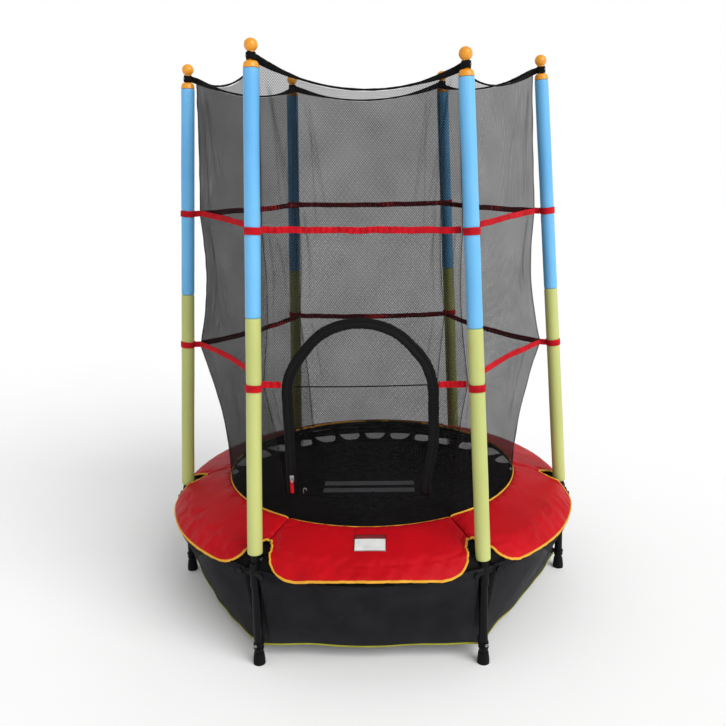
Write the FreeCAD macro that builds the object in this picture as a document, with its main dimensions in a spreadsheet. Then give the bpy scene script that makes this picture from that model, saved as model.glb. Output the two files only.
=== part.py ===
import FreeCAD, Part
import math
import os

import Sketcher

# Round garden trampoline with a hexagonal net enclosure.
# +Z is up and the origin lies on the floor below the centre of the jumping mat.
# Poles 1 to 6 stand every 60 degrees, pole 1 at -120 degrees (front left), and
# side 1 lies between poles 1 and 2, facing -Y. All lengths are in millimetres.

POLE_COUNT = 6
FIRST_POLE_ANGLE = -120.0
SECTOR = 360.0 / POLE_COUNT

DIMENSIONS = (
    ("ring_radius", 630.0),
    ("ring_height", 280.0),
    ("tube_radius", 12.5),
    ("tube_bore", 11.0),
    ("fit_gap", 0.3),
    ("arm_radius", 15.3),
    ("socket_radius", 16.2),
    ("socket_drop", 44.0),
    ("leg_seat_drop", 16.0),
    ("collar_reach", 26.0),
    ("collar_seat", 14.0),
    ("arm_angle", 5.5),
    ("tube_end_angle", 2.4),
    ("bore_run_out", 1.0),
    ("bore_overlap", 0.1),
    ("bolt_angle", 3.2),
    ("bolt_radius", 3.0),
    ("bolt_length", 38.0),
    ("knob_radius", 8.0),
    ("knob_length", 8.0),
    ("knob_sink", 2.0),
    ("nut_radius", 5.6),
    ("nut_length", 4.0),
    ("nut_sink", 1.0),
    ("seat_play", 0.02),
    ("foot_radius", 17.0),
    ("foot_neck_radius", 14.4),
    ("foot_base", 12.0),
    ("foot_height", 34.0),
    ("foot_floor", 6.0),
    ("pole_lean", 3.36),
    ("sleeve_radius", 21.0),
    ("cap_rim", 4.0),
    ("cap_dome", 13.0),
    ("cap_shoulder_radius", 11.0),
    ("cap_neck_radius", 9.5),
    ("cap_spigot", 25.0),
    ("ball_radius", 18.0),
    ("ball_rise", 57.0),
    ("mat_radius", 520.0),
    ("mat_thickness", 3.0),
    ("mat_tab_width", 30.0),
    ("mat_tab_length", 8.0),
    ("elastic_width", 24.0),
    ("elastic_thickness", 3.0),
    ("elastic_count", 36.0),
    ("elastic_mat_gap", 1.0),
    ("elastic_ring_gap", 0.8),
    ("pad_inner_radius", 470.0),
    ("pad_inner_top", 374.0),
    ("pad_foam", 21.0),
    ("pad_fold_radius", 618.0),
    ("pad_fold_top", 328.0),
    ("pad_edge_radius", 656.0),
    ("pad_edge_height", 287.0),
    ("pad_flap", 5.0),
    ("pad_bend_in", 14.0),
    ("pad_bend_rise", 3.0),
    ("pad_hip_in", 4.0),
    ("pad_hip_drop", 10.0),
    ("pad_lip", 4.0),
    ("pad_seam_gap", 0.2),
    ("notch_apex", 562.0),
    ("notch_apex_half", 7.0),
    ("notch_wide", 592.0),
    ("notch_half", 33.0),
    ("notch_corner", 624.0),
    ("notch_corner_half", 36.0),
    ("notch_mouth", 668.0),
    ("notch_mouth_half", 104.0),
    ("notch_cut_height", 424.0),
    ("net_thickness", 2.0),
    ("net_seam_gap", 0.5),
    ("net_foot_radius", 468.0),
    ("net_foot_height", 366.0),
    ("net_low_corner", 559.0),
    ("net_high_corner", 536.0),
    ("net_top_corner", 524.0),
    ("net_top", 1668.0),
    ("low_strap_height", 793.0),
    ("high_strap_height", 1218.0),
    ("hem_drop", 4.6),
    ("hem_reach", 262.0),
    ("hem_sag_1", 65.0),
    ("hem_sag_2", 42.0),
    ("hem_sag_3", 32.0),
    ("hem_sag_4", 48.0),
    ("hem_sag_5", 38.0),
    ("hem_sag_6", 38.0),
    ("hem_width", 22.0),
    ("hem_tab_gap", 0.5),
    ("hem_tab_end", 1.5),
    ("hem_tab_height", 14.0),
    ("hem_loop_radius", 13.5),
    ("hem_loop_rise", 18.0),
    ("hem_loop_height", 20.0),
    ("strap_width", 20.0),
    ("strap_thickness", 3.0),
    ("strap_gap", 1.4),
    ("strap_loop_gap", 0.5),
    ("strap_loop_wall", 2.0),
    ("strap_tab_width", 12.0),
    ("strap_tab_gap", 0.5),
    ("strap_tab_end", 1.3),
    ("door_centre", -15.0),
    ("door_half_width", 200.0),
    ("doorway_half", 212.5),
    ("zip_inner_half", 187.5),
    ("door_cloth_half", 186.3),
    ("door_sill", 455.0),
    ("zip_inner_sill", 435.0),
    ("door_cloth_sill", 456.2),
    ("door_spring", 760.0),
    ("slider_width", 11.0),
    ("slider_length", 20.0),
    ("slider_thickness", 4.0),
    ("slider_height", 500.0),
    ("slider_lean", 8.3),
    ("slider_front", 444.8),
    ("lug_length", 5.0),
    ("lug_width", 5.0),
    ("lug_height", 10.0),
    ("lug_sink", 1.0),
    ("pivot_radius", 1.2),
    ("pivot_play", 0.05),
    ("pivot_lift", 5.0),
    ("pivot_overrun", 1.0),
    ("cheek_gap", 0.3),
    ("cheek_depth", 3.0),
    ("cheek_height", 12.0),
    ("cheek_drop", 10.0),
    ("pull_width", 9.0),
    ("pull_thickness", 2.0),
    ("tab_low", 36.8),
    ("tab_length", 28.3),
    ("skirt_radius", 612.0),
    ("skirt_top", 264.0),
    ("skirt_bottom", 48.0),
)

# Start, joint and end of the foam sleeves, measured along poles 1 to 6.
SLEEVE_SPANS = (
    (50.0, 708.0, 1358.0),
    (29.0, 671.0, 1322.0),
    (34.0, 689.0, 1344.0),
    (34.0, 689.0, 1344.0),
    (34.0, 689.0, 1344.0),
    (34.0, 689.0, 1344.0),
)


def all_dimensions():
    """Every row of the sheet: the sleeve spans get one row per pole and end."""
    rows = list(DIMENSIONS)
    for number, span in enumerate(SLEEVE_SPANS, start=1):
        names = ("sleeve_start_%d", "sleeve_joint_%d", "sleeve_end_%d")
        rows += [(name % number, length) for name, length in zip(names, span)]
    return rows


doc = FreeCAD.newDocument("trampoline")
sheet = doc.addObject("Spreadsheet::Sheet", "sizes")
for row, (alias, number) in enumerate(all_dimensions(), start=1):
    sheet.set("A%d" % row, alias)
    sheet.set("B%d" % row, str(number))
    sheet.setAlias("B%d" % row, alias)
doc.recompute()

NODES = {}
X_AXIS = FreeCAD.Vector(1, 0, 0)
Y_AXIS = FreeCAD.Vector(0, 1, 0)
Z_AXIS = FreeCAD.Vector(0, 0, 1)


def size(alias):
    """Value of one cell of the sheet."""
    return float(sheet.get(alias))


def formula(text):
    """Expression that reads the sheet: every alias is written with a leading $."""
    return text.replace("$", "sizes.")


def bind(item, **sizes):
    for name, text in sizes.items():
        item.setExpression(name, formula(text))
    return item


def move(x=0.0, y=0.0, z=0.0):
    return FreeCAD.Placement(FreeCAD.Vector(x, y, z), FreeCAD.Rotation())


def turn(axis, angle):
    return FreeCAD.Placement(FreeCAD.Vector(), FreeCAD.Rotation(axis, angle))


def pole_angle(number):
    return FIRST_POLE_ANGLE + SECTOR * (number - 1)


def side_frame(number):
    """Local +X points outward through the middle of a side."""
    return turn(Z_AXIS, pole_angle(number) + SECTOR / 2)


def corner_frame(number):
    """Local +X points outward, the origin is on the floor below a pole's foot."""
    return turn(Z_AXIS, pole_angle(number)) * move(size("ring_radius"))


def pole_frame(number):
    """Local +Z runs up a leaning pole, from the centre of the ring tube."""
    lean = turn(Y_AXIS, -size("pole_lean"))
    return corner_frame(number) * move(z=size("ring_height")) * lean


def keep(name, item):
    """Name a finished sub-part: its label is also the name of its file."""
    item.Label = name
    NODES[name] = item
    return item


def cylinder(radius, height, placement):
    item = doc.addObject("Part::Cylinder", "round")
    bind(item, Radius=radius, Height=height)
    item.Placement = placement
    return item


def cone(low_radius, high_radius, height, placement):
    item = doc.addObject("Part::Cone", "taper")
    bind(item, Radius1=low_radius, Radius2=high_radius, Height=height)
    item.Placement = placement
    return item


def sphere(radius, placement):
    item = doc.addObject("Part::Sphere", "ball")
    bind(item, Radius=radius)
    item.Placement = placement
    return item


def box(length, width, height, placement):
    item = doc.addObject("Part::Box", "block")
    bind(item, Length=length, Width=width, Height=height)
    item.Placement = placement
    return item


def ring_arc(tube_radius, sweep, start_angle):
    item = doc.addObject("Part::Torus", "arc")
    bind(item, Radius1="$ring_radius", Radius2=tube_radius, Angle3=sweep)
    item.Placement = move(z=size("ring_height")) * turn(Z_AXIS, start_angle)
    return item


def fuse(items):
    item = doc.addObject("Part::MultiFuse", "union")
    item.Shapes = items
    return item


def cut(base, tool):
    item = doc.addObject("Part::Cut", "difference")
    item.Base = base
    item.Tool = tool
    return item


def common(items):
    item = doc.addObject("Part::MultiCommon", "overlap")
    item.Shapes = items
    return item


def group(items):
    item = doc.addObject("Part::Compound", "group")
    item.Links = items
    return item


def tube(outer_radius, inner_radius, height, placement):
    outer = cylinder(outer_radius, height, placement)
    inner = cylinder(inner_radius, height, placement)
    return cut(outer, inner)


def new_body(name):
    return doc.addObject("PartDesign::Body", name)


def origin_feature(body, role):
    return [item for item in body.Origin.OriginFeatures if item.Role == role][0]


def new_sketch(body, role, lift="0"):
    sketch = body.newObject("Sketcher::SketchObject", "outline")
    sketch.AttachmentSupport = [(origin_feature(body, role), "")]
    sketch.MapMode = "FlatFace"
    sketch.setExpression("AttachmentOffset.Base.z", formula(lift))
    return sketch


def tie(sketch, constraint, text):
    """Add a constraint whose value comes from the sheet."""
    index = sketch.addConstraint(constraint)
    sketch.setExpression("Constraints[%d]" % index, formula(text))


def join_ends(sketch, edge_count):
    for edge in range(edge_count):
        following = (edge + 1) % edge_count
        sketch.addConstraint(Sketcher.Constraint("Coincident", edge, 2, following, 1))


def polygon(body, role, points, lift="0"):
    """Closed outline of straight edges whose corners are given as formulas."""
    sketch = new_sketch(body, role, lift)
    step = 2 * math.pi / len(points)
    corners = [FreeCAD.Vector(math.cos(step * i), math.sin(step * i), 0)
               for i in range(len(points))]
    for index, corner in enumerate(corners):
        sketch.addGeometry(Part.LineSegment(corner, corners[(index + 1) % len(corners)]), False)
    join_ends(sketch, len(points))
    for index, (x_text, y_text) in enumerate(points):
        tie(sketch, Sketcher.Constraint("DistanceX", -1, 1, index, 1, corners[index].x), x_text)
        tie(sketch, Sketcher.Constraint("DistanceY", -1, 1, index, 1, corners[index].y), y_text)
    return sketch


def curved_band(body, alias, lift):
    """Thin band bent around the Z axis, filling one side of the hexagon."""
    outer = size(alias)
    inner = outer - size("net_thickness")
    half = math.radians(SECTOR / 2) - size("net_seam_gap") / outer
    ends = [FreeCAD.Vector(r * math.cos(a), r * math.sin(a), 0)
            for r, a in ((inner, -half), (outer, -half), (outer, half), (inner, half))]
    sketch = new_sketch(body, "XY_Plane", lift)
    centre = FreeCAD.Vector(0, 0, 0)
    outer_arc = Part.ArcOfCircle(Part.Circle(centre, Z_AXIS, outer), -half, half)
    inner_arc = Part.ArcOfCircle(Part.Circle(centre, Z_AXIS, inner), -half, half)
    sketch.addGeometry(Part.LineSegment(ends[0], ends[1]), False)
    sketch.addGeometry(outer_arc, False)
    sketch.addGeometry(Part.LineSegment(ends[2], ends[3]), False)
    sketch.addGeometry(inner_arc, False)
    for first, first_end, second, second_end in ((0, 2, 1, 1), (1, 2, 2, 1), (2, 2, 3, 2), (3, 1, 0, 1)):
        sketch.addConstraint(Sketcher.Constraint("Coincident", first, first_end, second, second_end))
    for arc, radius, text in ((1, outer, "$" + alias), (3, inner, "($%s - $net_thickness)" % alias)):
        sketch.addConstraint(Sketcher.Constraint("Coincident", arc, 3, -1, 1))
        tie(sketch, Sketcher.Constraint("Radius", arc, radius), text)
        reach = "(%s * sin(30) - $net_seam_gap)" % text
        tie(sketch, Sketcher.Constraint("DistanceY", -1, 1, arc, 1, -radius / 2), "-" + reach)
        tie(sketch, Sketcher.Constraint("DistanceY", -1, 1, arc, 2, radius / 2), reach)
    return sketch


def apothem(corner):
    return "($%s * cos(30))" % corner


def half_side(corner):
    """Half length of a straight band, its ends clear of the next side's."""
    return "((%s - $net_thickness) * tan(30) - $net_seam_gap)" % apothem(corner)


def straight_band(body, corner, lift):
    outer = apothem(corner)
    inner = "(%s - $net_thickness)" % outer
    half = half_side(corner)
    points = ((inner, "-" + half), (outer, "-" + half), (outer, half), (inner, half))
    return polygon(body, "XY_Plane", points, lift)


def loft(body, sketches):
    feature = body.newObject("PartDesign::AdditiveLoft", "cloth")
    feature.Profile = (sketches[0], [""])
    feature.Sections = [(sketch, [""]) for sketch in sketches[1:]]
    feature.Ruled = True
    body.Tip = feature
    return feature


def radial_rod(radius, length, start_radius, angle):
    """Horizontal rod that points outward at the height of the ring."""
    lying = turn(Y_AXIS, 90)
    place = turn(Z_AXIS, angle) * move(start_radius, 0, size("ring_height")) * lying
    return cylinder(radius, length, place)


def bolt_angles(number):
    centre = pole_angle(number)
    return (centre - size("bolt_angle"), centre + size("bolt_angle"))


def bolt_start():
    return size("ring_radius") - size("bolt_length") / 2


def make_bolt_holes():
    """Clearance for the two bolts of every corner socket."""
    rods = []
    for number in range(1, POLE_COUNT + 1):
        for angle in bolt_angles(number):
            rods.append(radial_rod("$bolt_radius + $fit_gap", "$bolt_length", bolt_start(), angle))
    return group(rods)


def make_ring_tube(number, bolt_holes):
    start = pole_angle(number) + size("tube_end_angle")
    sweep = "60 - 2 * $tube_end_angle"
    wall = cut(ring_arc("$tube_radius", sweep, start), ring_arc("$tube_bore", sweep, start))
    return cut(wall, bolt_holes)


def make_corner_socket(number, bolt_holes):
    start = pole_angle(number) - size("arm_angle")
    arms = ring_arc("$arm_radius", "2 * $arm_angle", start)
    low_place = corner_frame(number) * move(z=size("ring_height") - size("socket_drop"))
    lower = cylinder("$socket_radius", "$socket_drop", low_place)
    upper = cylinder("$socket_radius", "$collar_reach", pole_frame(number))
    solid = fuse([arms, lower, upper])
    bore = "$tube_radius + $fit_gap"
    leg_bore = cylinder(bore, "$socket_drop - $leg_seat_drop", low_place)
    seat = pole_frame(number) * move(z=size("collar_seat"))
    pole_bore = cylinder(bore, "$collar_reach", seat)
    sweep = "$arm_angle + $bore_run_out - $tube_end_angle + $bore_overlap"
    second_start = pole_angle(number) + size("tube_end_angle") - size("bore_overlap")
    first_bore = ring_arc(bore, sweep, start - size("bore_run_out"))
    second_bore = ring_arc(bore, sweep, second_start)
    bored = cut(solid, group([leg_bore, pole_bore, first_bore, second_bore]))
    return cut(bored, bolt_holes)


def make_leg(number):
    base = size("foot_floor") + size("fit_gap")
    height = "$ring_height - $leg_seat_drop - $foot_floor - 2 * $fit_gap"
    return tube("$tube_radius", "$tube_bore", height, corner_frame(number) * move(z=base))


def make_foot(number):
    place = corner_frame(number)
    base = cylinder("$foot_radius", "$foot_base", place)
    neck_place = place * move(z=size("foot_base"))
    neck = cone("$foot_radius", "$foot_neck_radius", "$foot_height - $foot_base", neck_place)
    bore_place = place * move(z=size("foot_floor"))
    bore = cylinder("$tube_radius + $fit_gap", "$foot_height", bore_place)
    return cut(fuse([base, neck]), bore)


def make_pole(number):
    start = size("collar_seat") + size("fit_gap")
    height = "$sleeve_end_%d - $collar_seat - 2 * $fit_gap" % number
    return tube("$tube_radius", "$tube_bore", height, pole_frame(number) * move(z=start))


def make_sleeve(number, start, end):
    """Foam tube between two of the marks "start", "joint" and "end"."""
    low = "sleeve_%s_%d" % (start, number)
    height = "$sleeve_%s_%d - $%s - $fit_gap" % (end, number, low)
    place = pole_frame(number) * move(z=size(low))
    return tube("$sleeve_radius", "$tube_radius + $fit_gap", height, place)


def make_cap(number):
    seat = size("sleeve_end_%d" % number)
    frame = pole_frame(number)
    spigot_place = frame * move(z=seat - size("cap_spigot"))
    spigot = cylinder("$tube_bore - $fit_gap", "$cap_spigot", spigot_place)
    rim = cylinder("$sleeve_radius", "$cap_rim", frame * move(z=seat))
    dome_place = frame * move(z=seat + size("cap_rim"))
    dome = cone("$sleeve_radius", "$cap_shoulder_radius", "$cap_dome", dome_place)
    neck = cylinder("$cap_neck_radius", "$ball_rise", frame * move(z=seat))
    ball = sphere("$ball_radius", frame * move(z=seat + size("ball_rise")))
    return fuse([spigot, rim, dome, neck, ball])


def make_bolt(angle):
    shank = radial_rod("$bolt_radius", "$bolt_length", bolt_start(), angle)
    outside = bolt_start() + size("bolt_length")
    knob = radial_rod("$knob_radius", "$knob_length", outside - size("knob_sink"), angle)
    nut = radial_rod("$nut_radius", "$nut_length", bolt_start() - size("nut_sink"), angle)
    clear_of_socket = ring_arc("$arm_radius + $seat_play", "360", 0)
    ends = cut(fuse([knob, nut]), clear_of_socket)
    return fuse([shank, ends])


def make_mat():
    body = new_body("mat_body")
    disc = new_sketch(body, "XY_Plane", "$ring_height - $mat_thickness / 2")
    circle = Part.Circle(FreeCAD.Vector(), FreeCAD.Vector(0, 0, 1), size("mat_radius"))
    disc.addGeometry(circle, False)
    disc.addConstraint(Sketcher.Constraint("Coincident", 0, 3, -1, 1))
    tie(disc, Sketcher.Constraint("Radius", 0, size("mat_radius")), "$mat_radius")
    bed = body.newObject("PartDesign::Pad", "bed")
    bed.Profile = disc
    bed.setExpression("Length", formula("$mat_thickness"))
    root = "($mat_radius - $mat_tab_length)"
    tip = "($mat_radius + $mat_tab_length)"
    half = "$mat_tab_width / 2"
    corners = ((root, "-" + half), (tip, "-" + half), (tip, half), (root, half))
    outline = polygon(body, "XY_Plane", corners, "$ring_height - $mat_thickness / 2")
    tab = body.newObject("PartDesign::Pad", "tab")
    tab.Profile = outline
    tab.setExpression("Length", formula("$mat_thickness"))
    doc.recompute()
    pattern = body.newObject("PartDesign::PolarPattern", "tabs")
    pattern.Originals = [tab]
    pattern.Axis = (origin_feature(body, "Z_Axis"), [""])
    pattern.Angle = 360
    pattern.setExpression("Occurrences", formula("$elastic_count"))
    body.Tip = pattern
    body.Placement = turn(Z_AXIS, 180 / size("elastic_count"))
    return body


def make_elastics():
    """Flat elastic bands from the rim of the mat to the inner side of the ring."""
    start = size("mat_radius") + size("mat_tab_length") + size("elastic_mat_gap")
    outer_end = "($ring_radius - $arm_radius - $elastic_ring_gap)"
    length = outer_end + " - $mat_radius - $mat_tab_length - $elastic_mat_gap"
    count = int(size("elastic_count"))
    low = size("ring_height") - size("elastic_thickness") / 2
    bands = []
    for index in range(count):
        angle = (index + 0.5) * 360 / count
        place = turn(Z_AXIS, angle) * move(start, -size("elastic_width") / 2, low)
        bands.append(box(length, "$elastic_width", "$elastic_thickness", place))
    return group(bands)


def make_notches():
    """Gaps of the safety pad around the poles, open to the outside."""
    notches = []
    for number in range(1, POLE_COUNT + 1):
        body = new_body("notch")
        half = (
            ("$notch_apex", "$notch_apex_half"),
            ("$notch_wide", "$notch_half"),
            ("$notch_corner", "$notch_corner_half"),
            ("$notch_mouth", "$notch_mouth_half"),
        )
        other = [(x_text, "-(%s)" % y_text) for x_text, y_text in reversed(half)]
        outline = polygon(body, "XY_Plane", list(half) + other)
        prism = body.newObject("PartDesign::Pad", "prism")
        prism.Profile = outline
        prism.setExpression("Length", formula("$notch_cut_height"))
        body.Placement = turn(Z_AXIS, pole_angle(number))
        notches.append(body)
    return group(notches)


def make_pad_panel(number, notches):
    """One sixth of the pad: a sloping cushion with a flap over the ring."""
    body = new_body("pad_body")
    slope = "($pad_inner_top - $pad_foam)"
    points = (
        ("$pad_inner_radius", slope),
        ("$pad_fold_radius - $pad_bend_in", "$pad_fold_top - $pad_foam + $pad_bend_rise"),
        ("$pad_fold_radius - $pad_hip_in", "$pad_fold_top - $pad_hip_drop"),
        ("$pad_edge_radius - $pad_flap", "$pad_edge_height - $pad_lip"),
        ("$pad_edge_radius", "$pad_edge_height"),
        ("$pad_fold_radius", "$pad_fold_top"),
        ("$pad_inner_radius", "$pad_inner_top"),
    )
    profile = polygon(body, "XZ_Plane", points)
    panel = body.newObject("PartDesign::Revolution", "panel")
    panel.Profile = profile
    panel.ReferenceAxis = (origin_feature(body, "Z_Axis"), [""])
    panel.setExpression("Angle", formula("60 - $pad_seam_gap"))
    panel.Midplane = True
    body.Tip = panel
    body.Placement = side_frame(number)
    return cut(body, notches)


def make_net_body(number):
    """Net of one side, from the pad's inner edge up past both straps."""
    body = new_body("net_body")
    sections = [
        curved_band(body, "net_foot_radius", "$net_foot_height"),
        straight_band(body, "net_low_corner", "$low_strap_height"),
        straight_band(body, "net_high_corner", "$high_strap_height"),
        straight_band(body, "net_top_corner", "$net_top"),
    ]
    loft(body, sections)
    body.Placement = side_frame(number)
    return body


def neck_middle(number):
    """Distance along a pole to the middle of the loop round its cap's neck."""
    return size("sleeve_end_%d" % number) + size("hem_loop_rise") + size("hem_loop_height") / 2


def hem_height(number):
    """Height of the top hem where it meets a pole."""
    lean = math.radians(size("pole_lean"))
    return size("ring_height") + neck_middle(number) * math.cos(lean) - size("hem_drop")


def sag_cylinder(number, extra=""):
    """Horizontal cylinder whose underside is the sagging line of the top hem."""
    following = number % POLE_COUNT + 1
    span = 2 * size("hem_reach")
    rise = hem_height(following) - hem_height(number)
    chord = math.hypot(span, rise)
    sag = size("hem_sag_%d" % number)
    above_chord = (chord ** 2 / 4 + sag ** 2) / (2 * sag) - sag
    middle = (hem_height(number) + hem_height(following)) / 2
    centre = move(0, -rise / chord * above_chord, middle + span / chord * above_chord)
    half_rise = "(($sleeve_end_%d - $sleeve_end_%d) * cos($pole_lean) / 2)" % (following, number)
    text = "($hem_reach ^ 2 + %s ^ 2 + $sag ^ 2) / (2 * $sag)" % half_rise
    text = text.replace("$sag", "$hem_sag_%d" % number)
    return cylinder(text + extra, "$ring_radius", side_frame(number) * centre * turn(Y_AXIS, 90))


def make_arch(half, sill):
    """Upright prism in the outline of the doorway: a round arch on two legs."""
    frame = side_frame(1) * move(y=size("door_centre"))
    arch = cylinder("$" + half, "$ring_radius", frame * move(z=size("door_spring")) * turn(Y_AXIS, 90))
    corner = frame * move(y=-size(half), z=size(sill))
    legs = box("$ring_radius", "2 * $" + half, "$door_spring - $" + sill, corner)
    return fuse([arch, legs])


def make_strap(number, corner, height, doorway):
    outer = "(%s + $strap_gap)" % apothem(corner)
    half = half_side(corner)
    body = new_body("strap_body")
    far = "(%s + $strap_thickness)" % outer
    points = ((outer, "-" + half), (far, "-" + half), (far, half), (outer, half))
    band = body.newObject("PartDesign::Pad", "band")
    band.Profile = polygon(body, "XY_Plane", points, "$%s - $strap_width / 2" % height)
    band.setExpression("Length", formula("$strap_width"))
    body.Tip = band
    body.Placement = side_frame(number)
    return cut(body, doorway) if doorway else body


def make_pole_loop(number, corner, height):
    """Loop around a sleeve, with a short tab to the corner of the net."""
    rise = (size(height) - size("ring_height")) / math.cos(math.radians(size("pole_lean")))
    place = pole_frame(number) * move(z=rise - size("strap_width") / 2)
    inner = "$sleeve_radius + $strap_loop_gap"
    loop = tube(inner + " + $strap_loop_wall", inner, "$strap_width", place)
    pole_radius = size("ring_radius") - rise * math.sin(math.radians(size("pole_lean")))
    half_angle = math.radians(SECTOR / 2)
    band_face = size(corner) * math.cos(half_angle) + size("strap_gap") + size("strap_thickness")
    start = math.hypot(band_face, band_face * math.tan(half_angle)) + size("strap_tab_gap")
    reach = pole_radius - size("sleeve_radius") - size("strap_tab_end") - start
    low = size(height) - size("strap_width") / 2
    tab_place = turn(Z_AXIS, pole_angle(number)) * move(start, -size("strap_tab_width") / 2, low)
    tab = doc.addObject("Part::Box", "tab")
    bind(tab, Width="$strap_tab_width", Height="$strap_width")
    tab.Length = reach
    tab.Placement = tab_place
    return fuse([loop, tab])


def make_straps(doorway):
    pieces = []
    for corner, height in (("net_low_corner", "low_strap_height"), ("net_high_corner", "high_strap_height")):
        for number in range(1, POLE_COUNT + 1):
            crosses_door = number == 1 and height == "low_strap_height"
            pieces.append(make_strap(number, corner, height, doorway if crosses_door else None))
            pieces.append(make_pole_loop(number, corner, height))
    return group(pieces)


def make_hem_loop(number):
    """Webbing loop round the neck of a cap, with a tab to the net's corner."""
    middle = neck_middle(number)
    place = pole_frame(number) * move(z=middle - size("hem_loop_height") / 2)
    bore = "$cap_neck_radius + $strap_loop_gap"
    loop = tube("$hem_loop_radius", bore, "$hem_loop_height", place)
    lean = math.radians(size("pole_lean"))
    neck_radius = size("ring_radius") - middle * math.sin(lean)
    height = size("ring_height") + middle * math.cos(lean)
    inner = size("net_top_corner") + size("hem_tab_gap")
    tab = doc.addObject("Part::Box", "tab")
    tab.Length = neck_radius - size("cap_neck_radius") - size("hem_tab_end") - inner
    bind(tab, Width="$strap_tab_width", Height="$hem_tab_height")
    low = height - size("hem_tab_height") / 2
    tab.Placement = turn(Z_AXIS, pole_angle(number)) * move(inner, -size("strap_tab_width") / 2, low)
    return fuse([loop, tab])


def slider_frame():
    """Local +Z runs up the left leg of the zip, local +Y points into the net."""
    x = size("door_centre") - size("door_half_width")
    return move(x, -size("slider_front"), size("slider_height")) * turn(X_AXIS, size("slider_lean"))


def make_zip_slider():
    frame = slider_frame()
    plate_place = frame * move(-size("slider_width") / 2, -size("slider_thickness"))
    plate = box("$slider_width", "$slider_thickness", "$slider_length", plate_place)
    lug_place = frame * move(-size("lug_width") / 2, -size("slider_thickness") - size("lug_length"))
    lug = box("$lug_width", "$lug_length + $lug_sink", "$lug_height", lug_place)
    eye = cylinder("$pivot_radius + $pivot_play", "$lug_width + 2 * $pivot_overrun", pivot_frame())
    return cut(fuse([plate, lug]), eye)


def pivot_frame():
    """Axis of the pull tab, through the slider's lug, along X."""
    depth = size("slider_thickness") + size("lug_length") / 2
    start = -size("lug_width") / 2 - size("pivot_overrun")
    return slider_frame() * move(start, -depth, size("pivot_lift")) * turn(Y_AXIS, 90)


def make_zip_pull():
    """Pin in the slider's lug, two side plates and the tab that hangs below."""
    centre = pivot_frame() * move(z=size("lug_width") / 2 + size("pivot_overrun"))
    hang = FreeCAD.Placement(centre.Base, FreeCAD.Rotation())
    cheek_start = size("lug_width") / 2 + size("cheek_gap")
    cheek_width = size("pull_width") / 2 - cheek_start
    width = "$pull_width / 2 - $lug_width / 2 - $cheek_gap"
    pieces = []
    for side in (-cheek_start - cheek_width, cheek_start):
        place = hang * move(side, -size("cheek_depth") / 2, -size("cheek_drop"))
        pieces.append(box(width, "$cheek_depth", "$cheek_height", place))
    pin_place = hang * move(-size("pull_width") / 2) * turn(Y_AXIS, 90)
    pieces.append(cylinder("$pivot_radius", "$pull_width", pin_place))
    tab_place = hang * move(-size("pull_width") / 2, -size("pull_thickness") / 2, -size("tab_low"))
    pieces.append(box("$pull_width", "$pull_thickness", "$tab_length", tab_place))
    return fuse(pieces)


def make_skirt_panel(number):
    """Cloth under the ring: round at the top, straight between the feet."""
    body = new_body("skirt_body")
    top = curved_band(body, "skirt_radius", "$skirt_top")
    bottom = straight_band(body, "skirt_radius", "$skirt_bottom")
    loft(body, [bottom, top])
    body.Placement = side_frame(number)
    return body


def build():
    bolt_holes = make_bolt_holes()
    numbers = range(1, POLE_COUNT + 1)
    for number in numbers:
        keep("ring_tube_%d" % number, make_ring_tube(number, bolt_holes))
        keep("corner_socket_%d" % number, make_corner_socket(number, bolt_holes))
        keep("leg_%d" % number, make_leg(number))
        keep("pole_%d" % number, make_pole(number))
        keep("lower_sleeve_%d" % number, make_sleeve(number, "start", "joint"))
        keep("upper_sleeve_%d" % number, make_sleeve(number, "joint", "end"))
    keep("rubber_feet", group([make_foot(number) for number in numbers]))
    keep("pole_caps", group([make_cap(number) for number in numbers]))
    bolts = [make_bolt(angle) for number in numbers for angle in bolt_angles(number)]
    keep("corner_bolts", group(bolts))

    keep("jumping_mat", make_mat())
    keep("mat_elastics", make_elastics())
    notches = make_notches()
    for number in numbers:
        keep("pad_panel_%d" % number, make_pad_panel(number, notches))

    doorway = make_arch("doorway_half", "door_sill")
    door_outline = make_arch("door_cloth_half", "door_cloth_sill")
    zip_inner = make_arch("zip_inner_half", "zip_inner_sill")
    hems = []
    for number in numbers:
        body = make_net_body(number)
        above = sag_cylinder(number)
        below = sag_cylinder(number, " + $hem_width")
        hems.append(common([body, cut(below, above)]))
        hems.append(make_hem_loop(number))
        net = cut(body, below)
        if number == 1:
            keep("door_panel", common([net, door_outline]))
            keep("door_zip_tape", common([net, cut(doorway, zip_inner)]))
            net = cut(net, doorway)
        keep("net_side_%d" % number, net)
    keep("top_hem", group(hems))
    keep("net_straps", make_straps(doorway))
    keep("zip_slider", make_zip_slider())
    keep("zip_pull", make_zip_pull())
    keep("ground_skirt", group([make_skirt_panel(number) for number in numbers]))


def check():
    doc.recompute()
    failed = [item.Name for item in doc.Objects if "Invalid" in item.State or "Error" in item.State]
    if failed:
        raise RuntimeError("failed: " + ", ".join(failed))
    for name, item in NODES.items():
        if item.Shape.isNull() or not item.Shape.isValid():
            raise RuntimeError("%s has a bad shape" % name)


def export():
    os.makedirs("parts", exist_ok=True)
    for name, item in NODES.items():
        item.Shape.exportStep("parts/%s.step" % name)
        print("%-20s %3d solids %12.1f mm3" % (name, len(item.Shape.Solids), item.Shape.Volume))
    print(len(NODES), "nodes")


build()
check()
export()
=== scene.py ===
import math

import bmesh
import bpy
import numpy as np
from mathutils import Matrix, Vector
from mathutils.bvhtree import BVHTree


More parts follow.
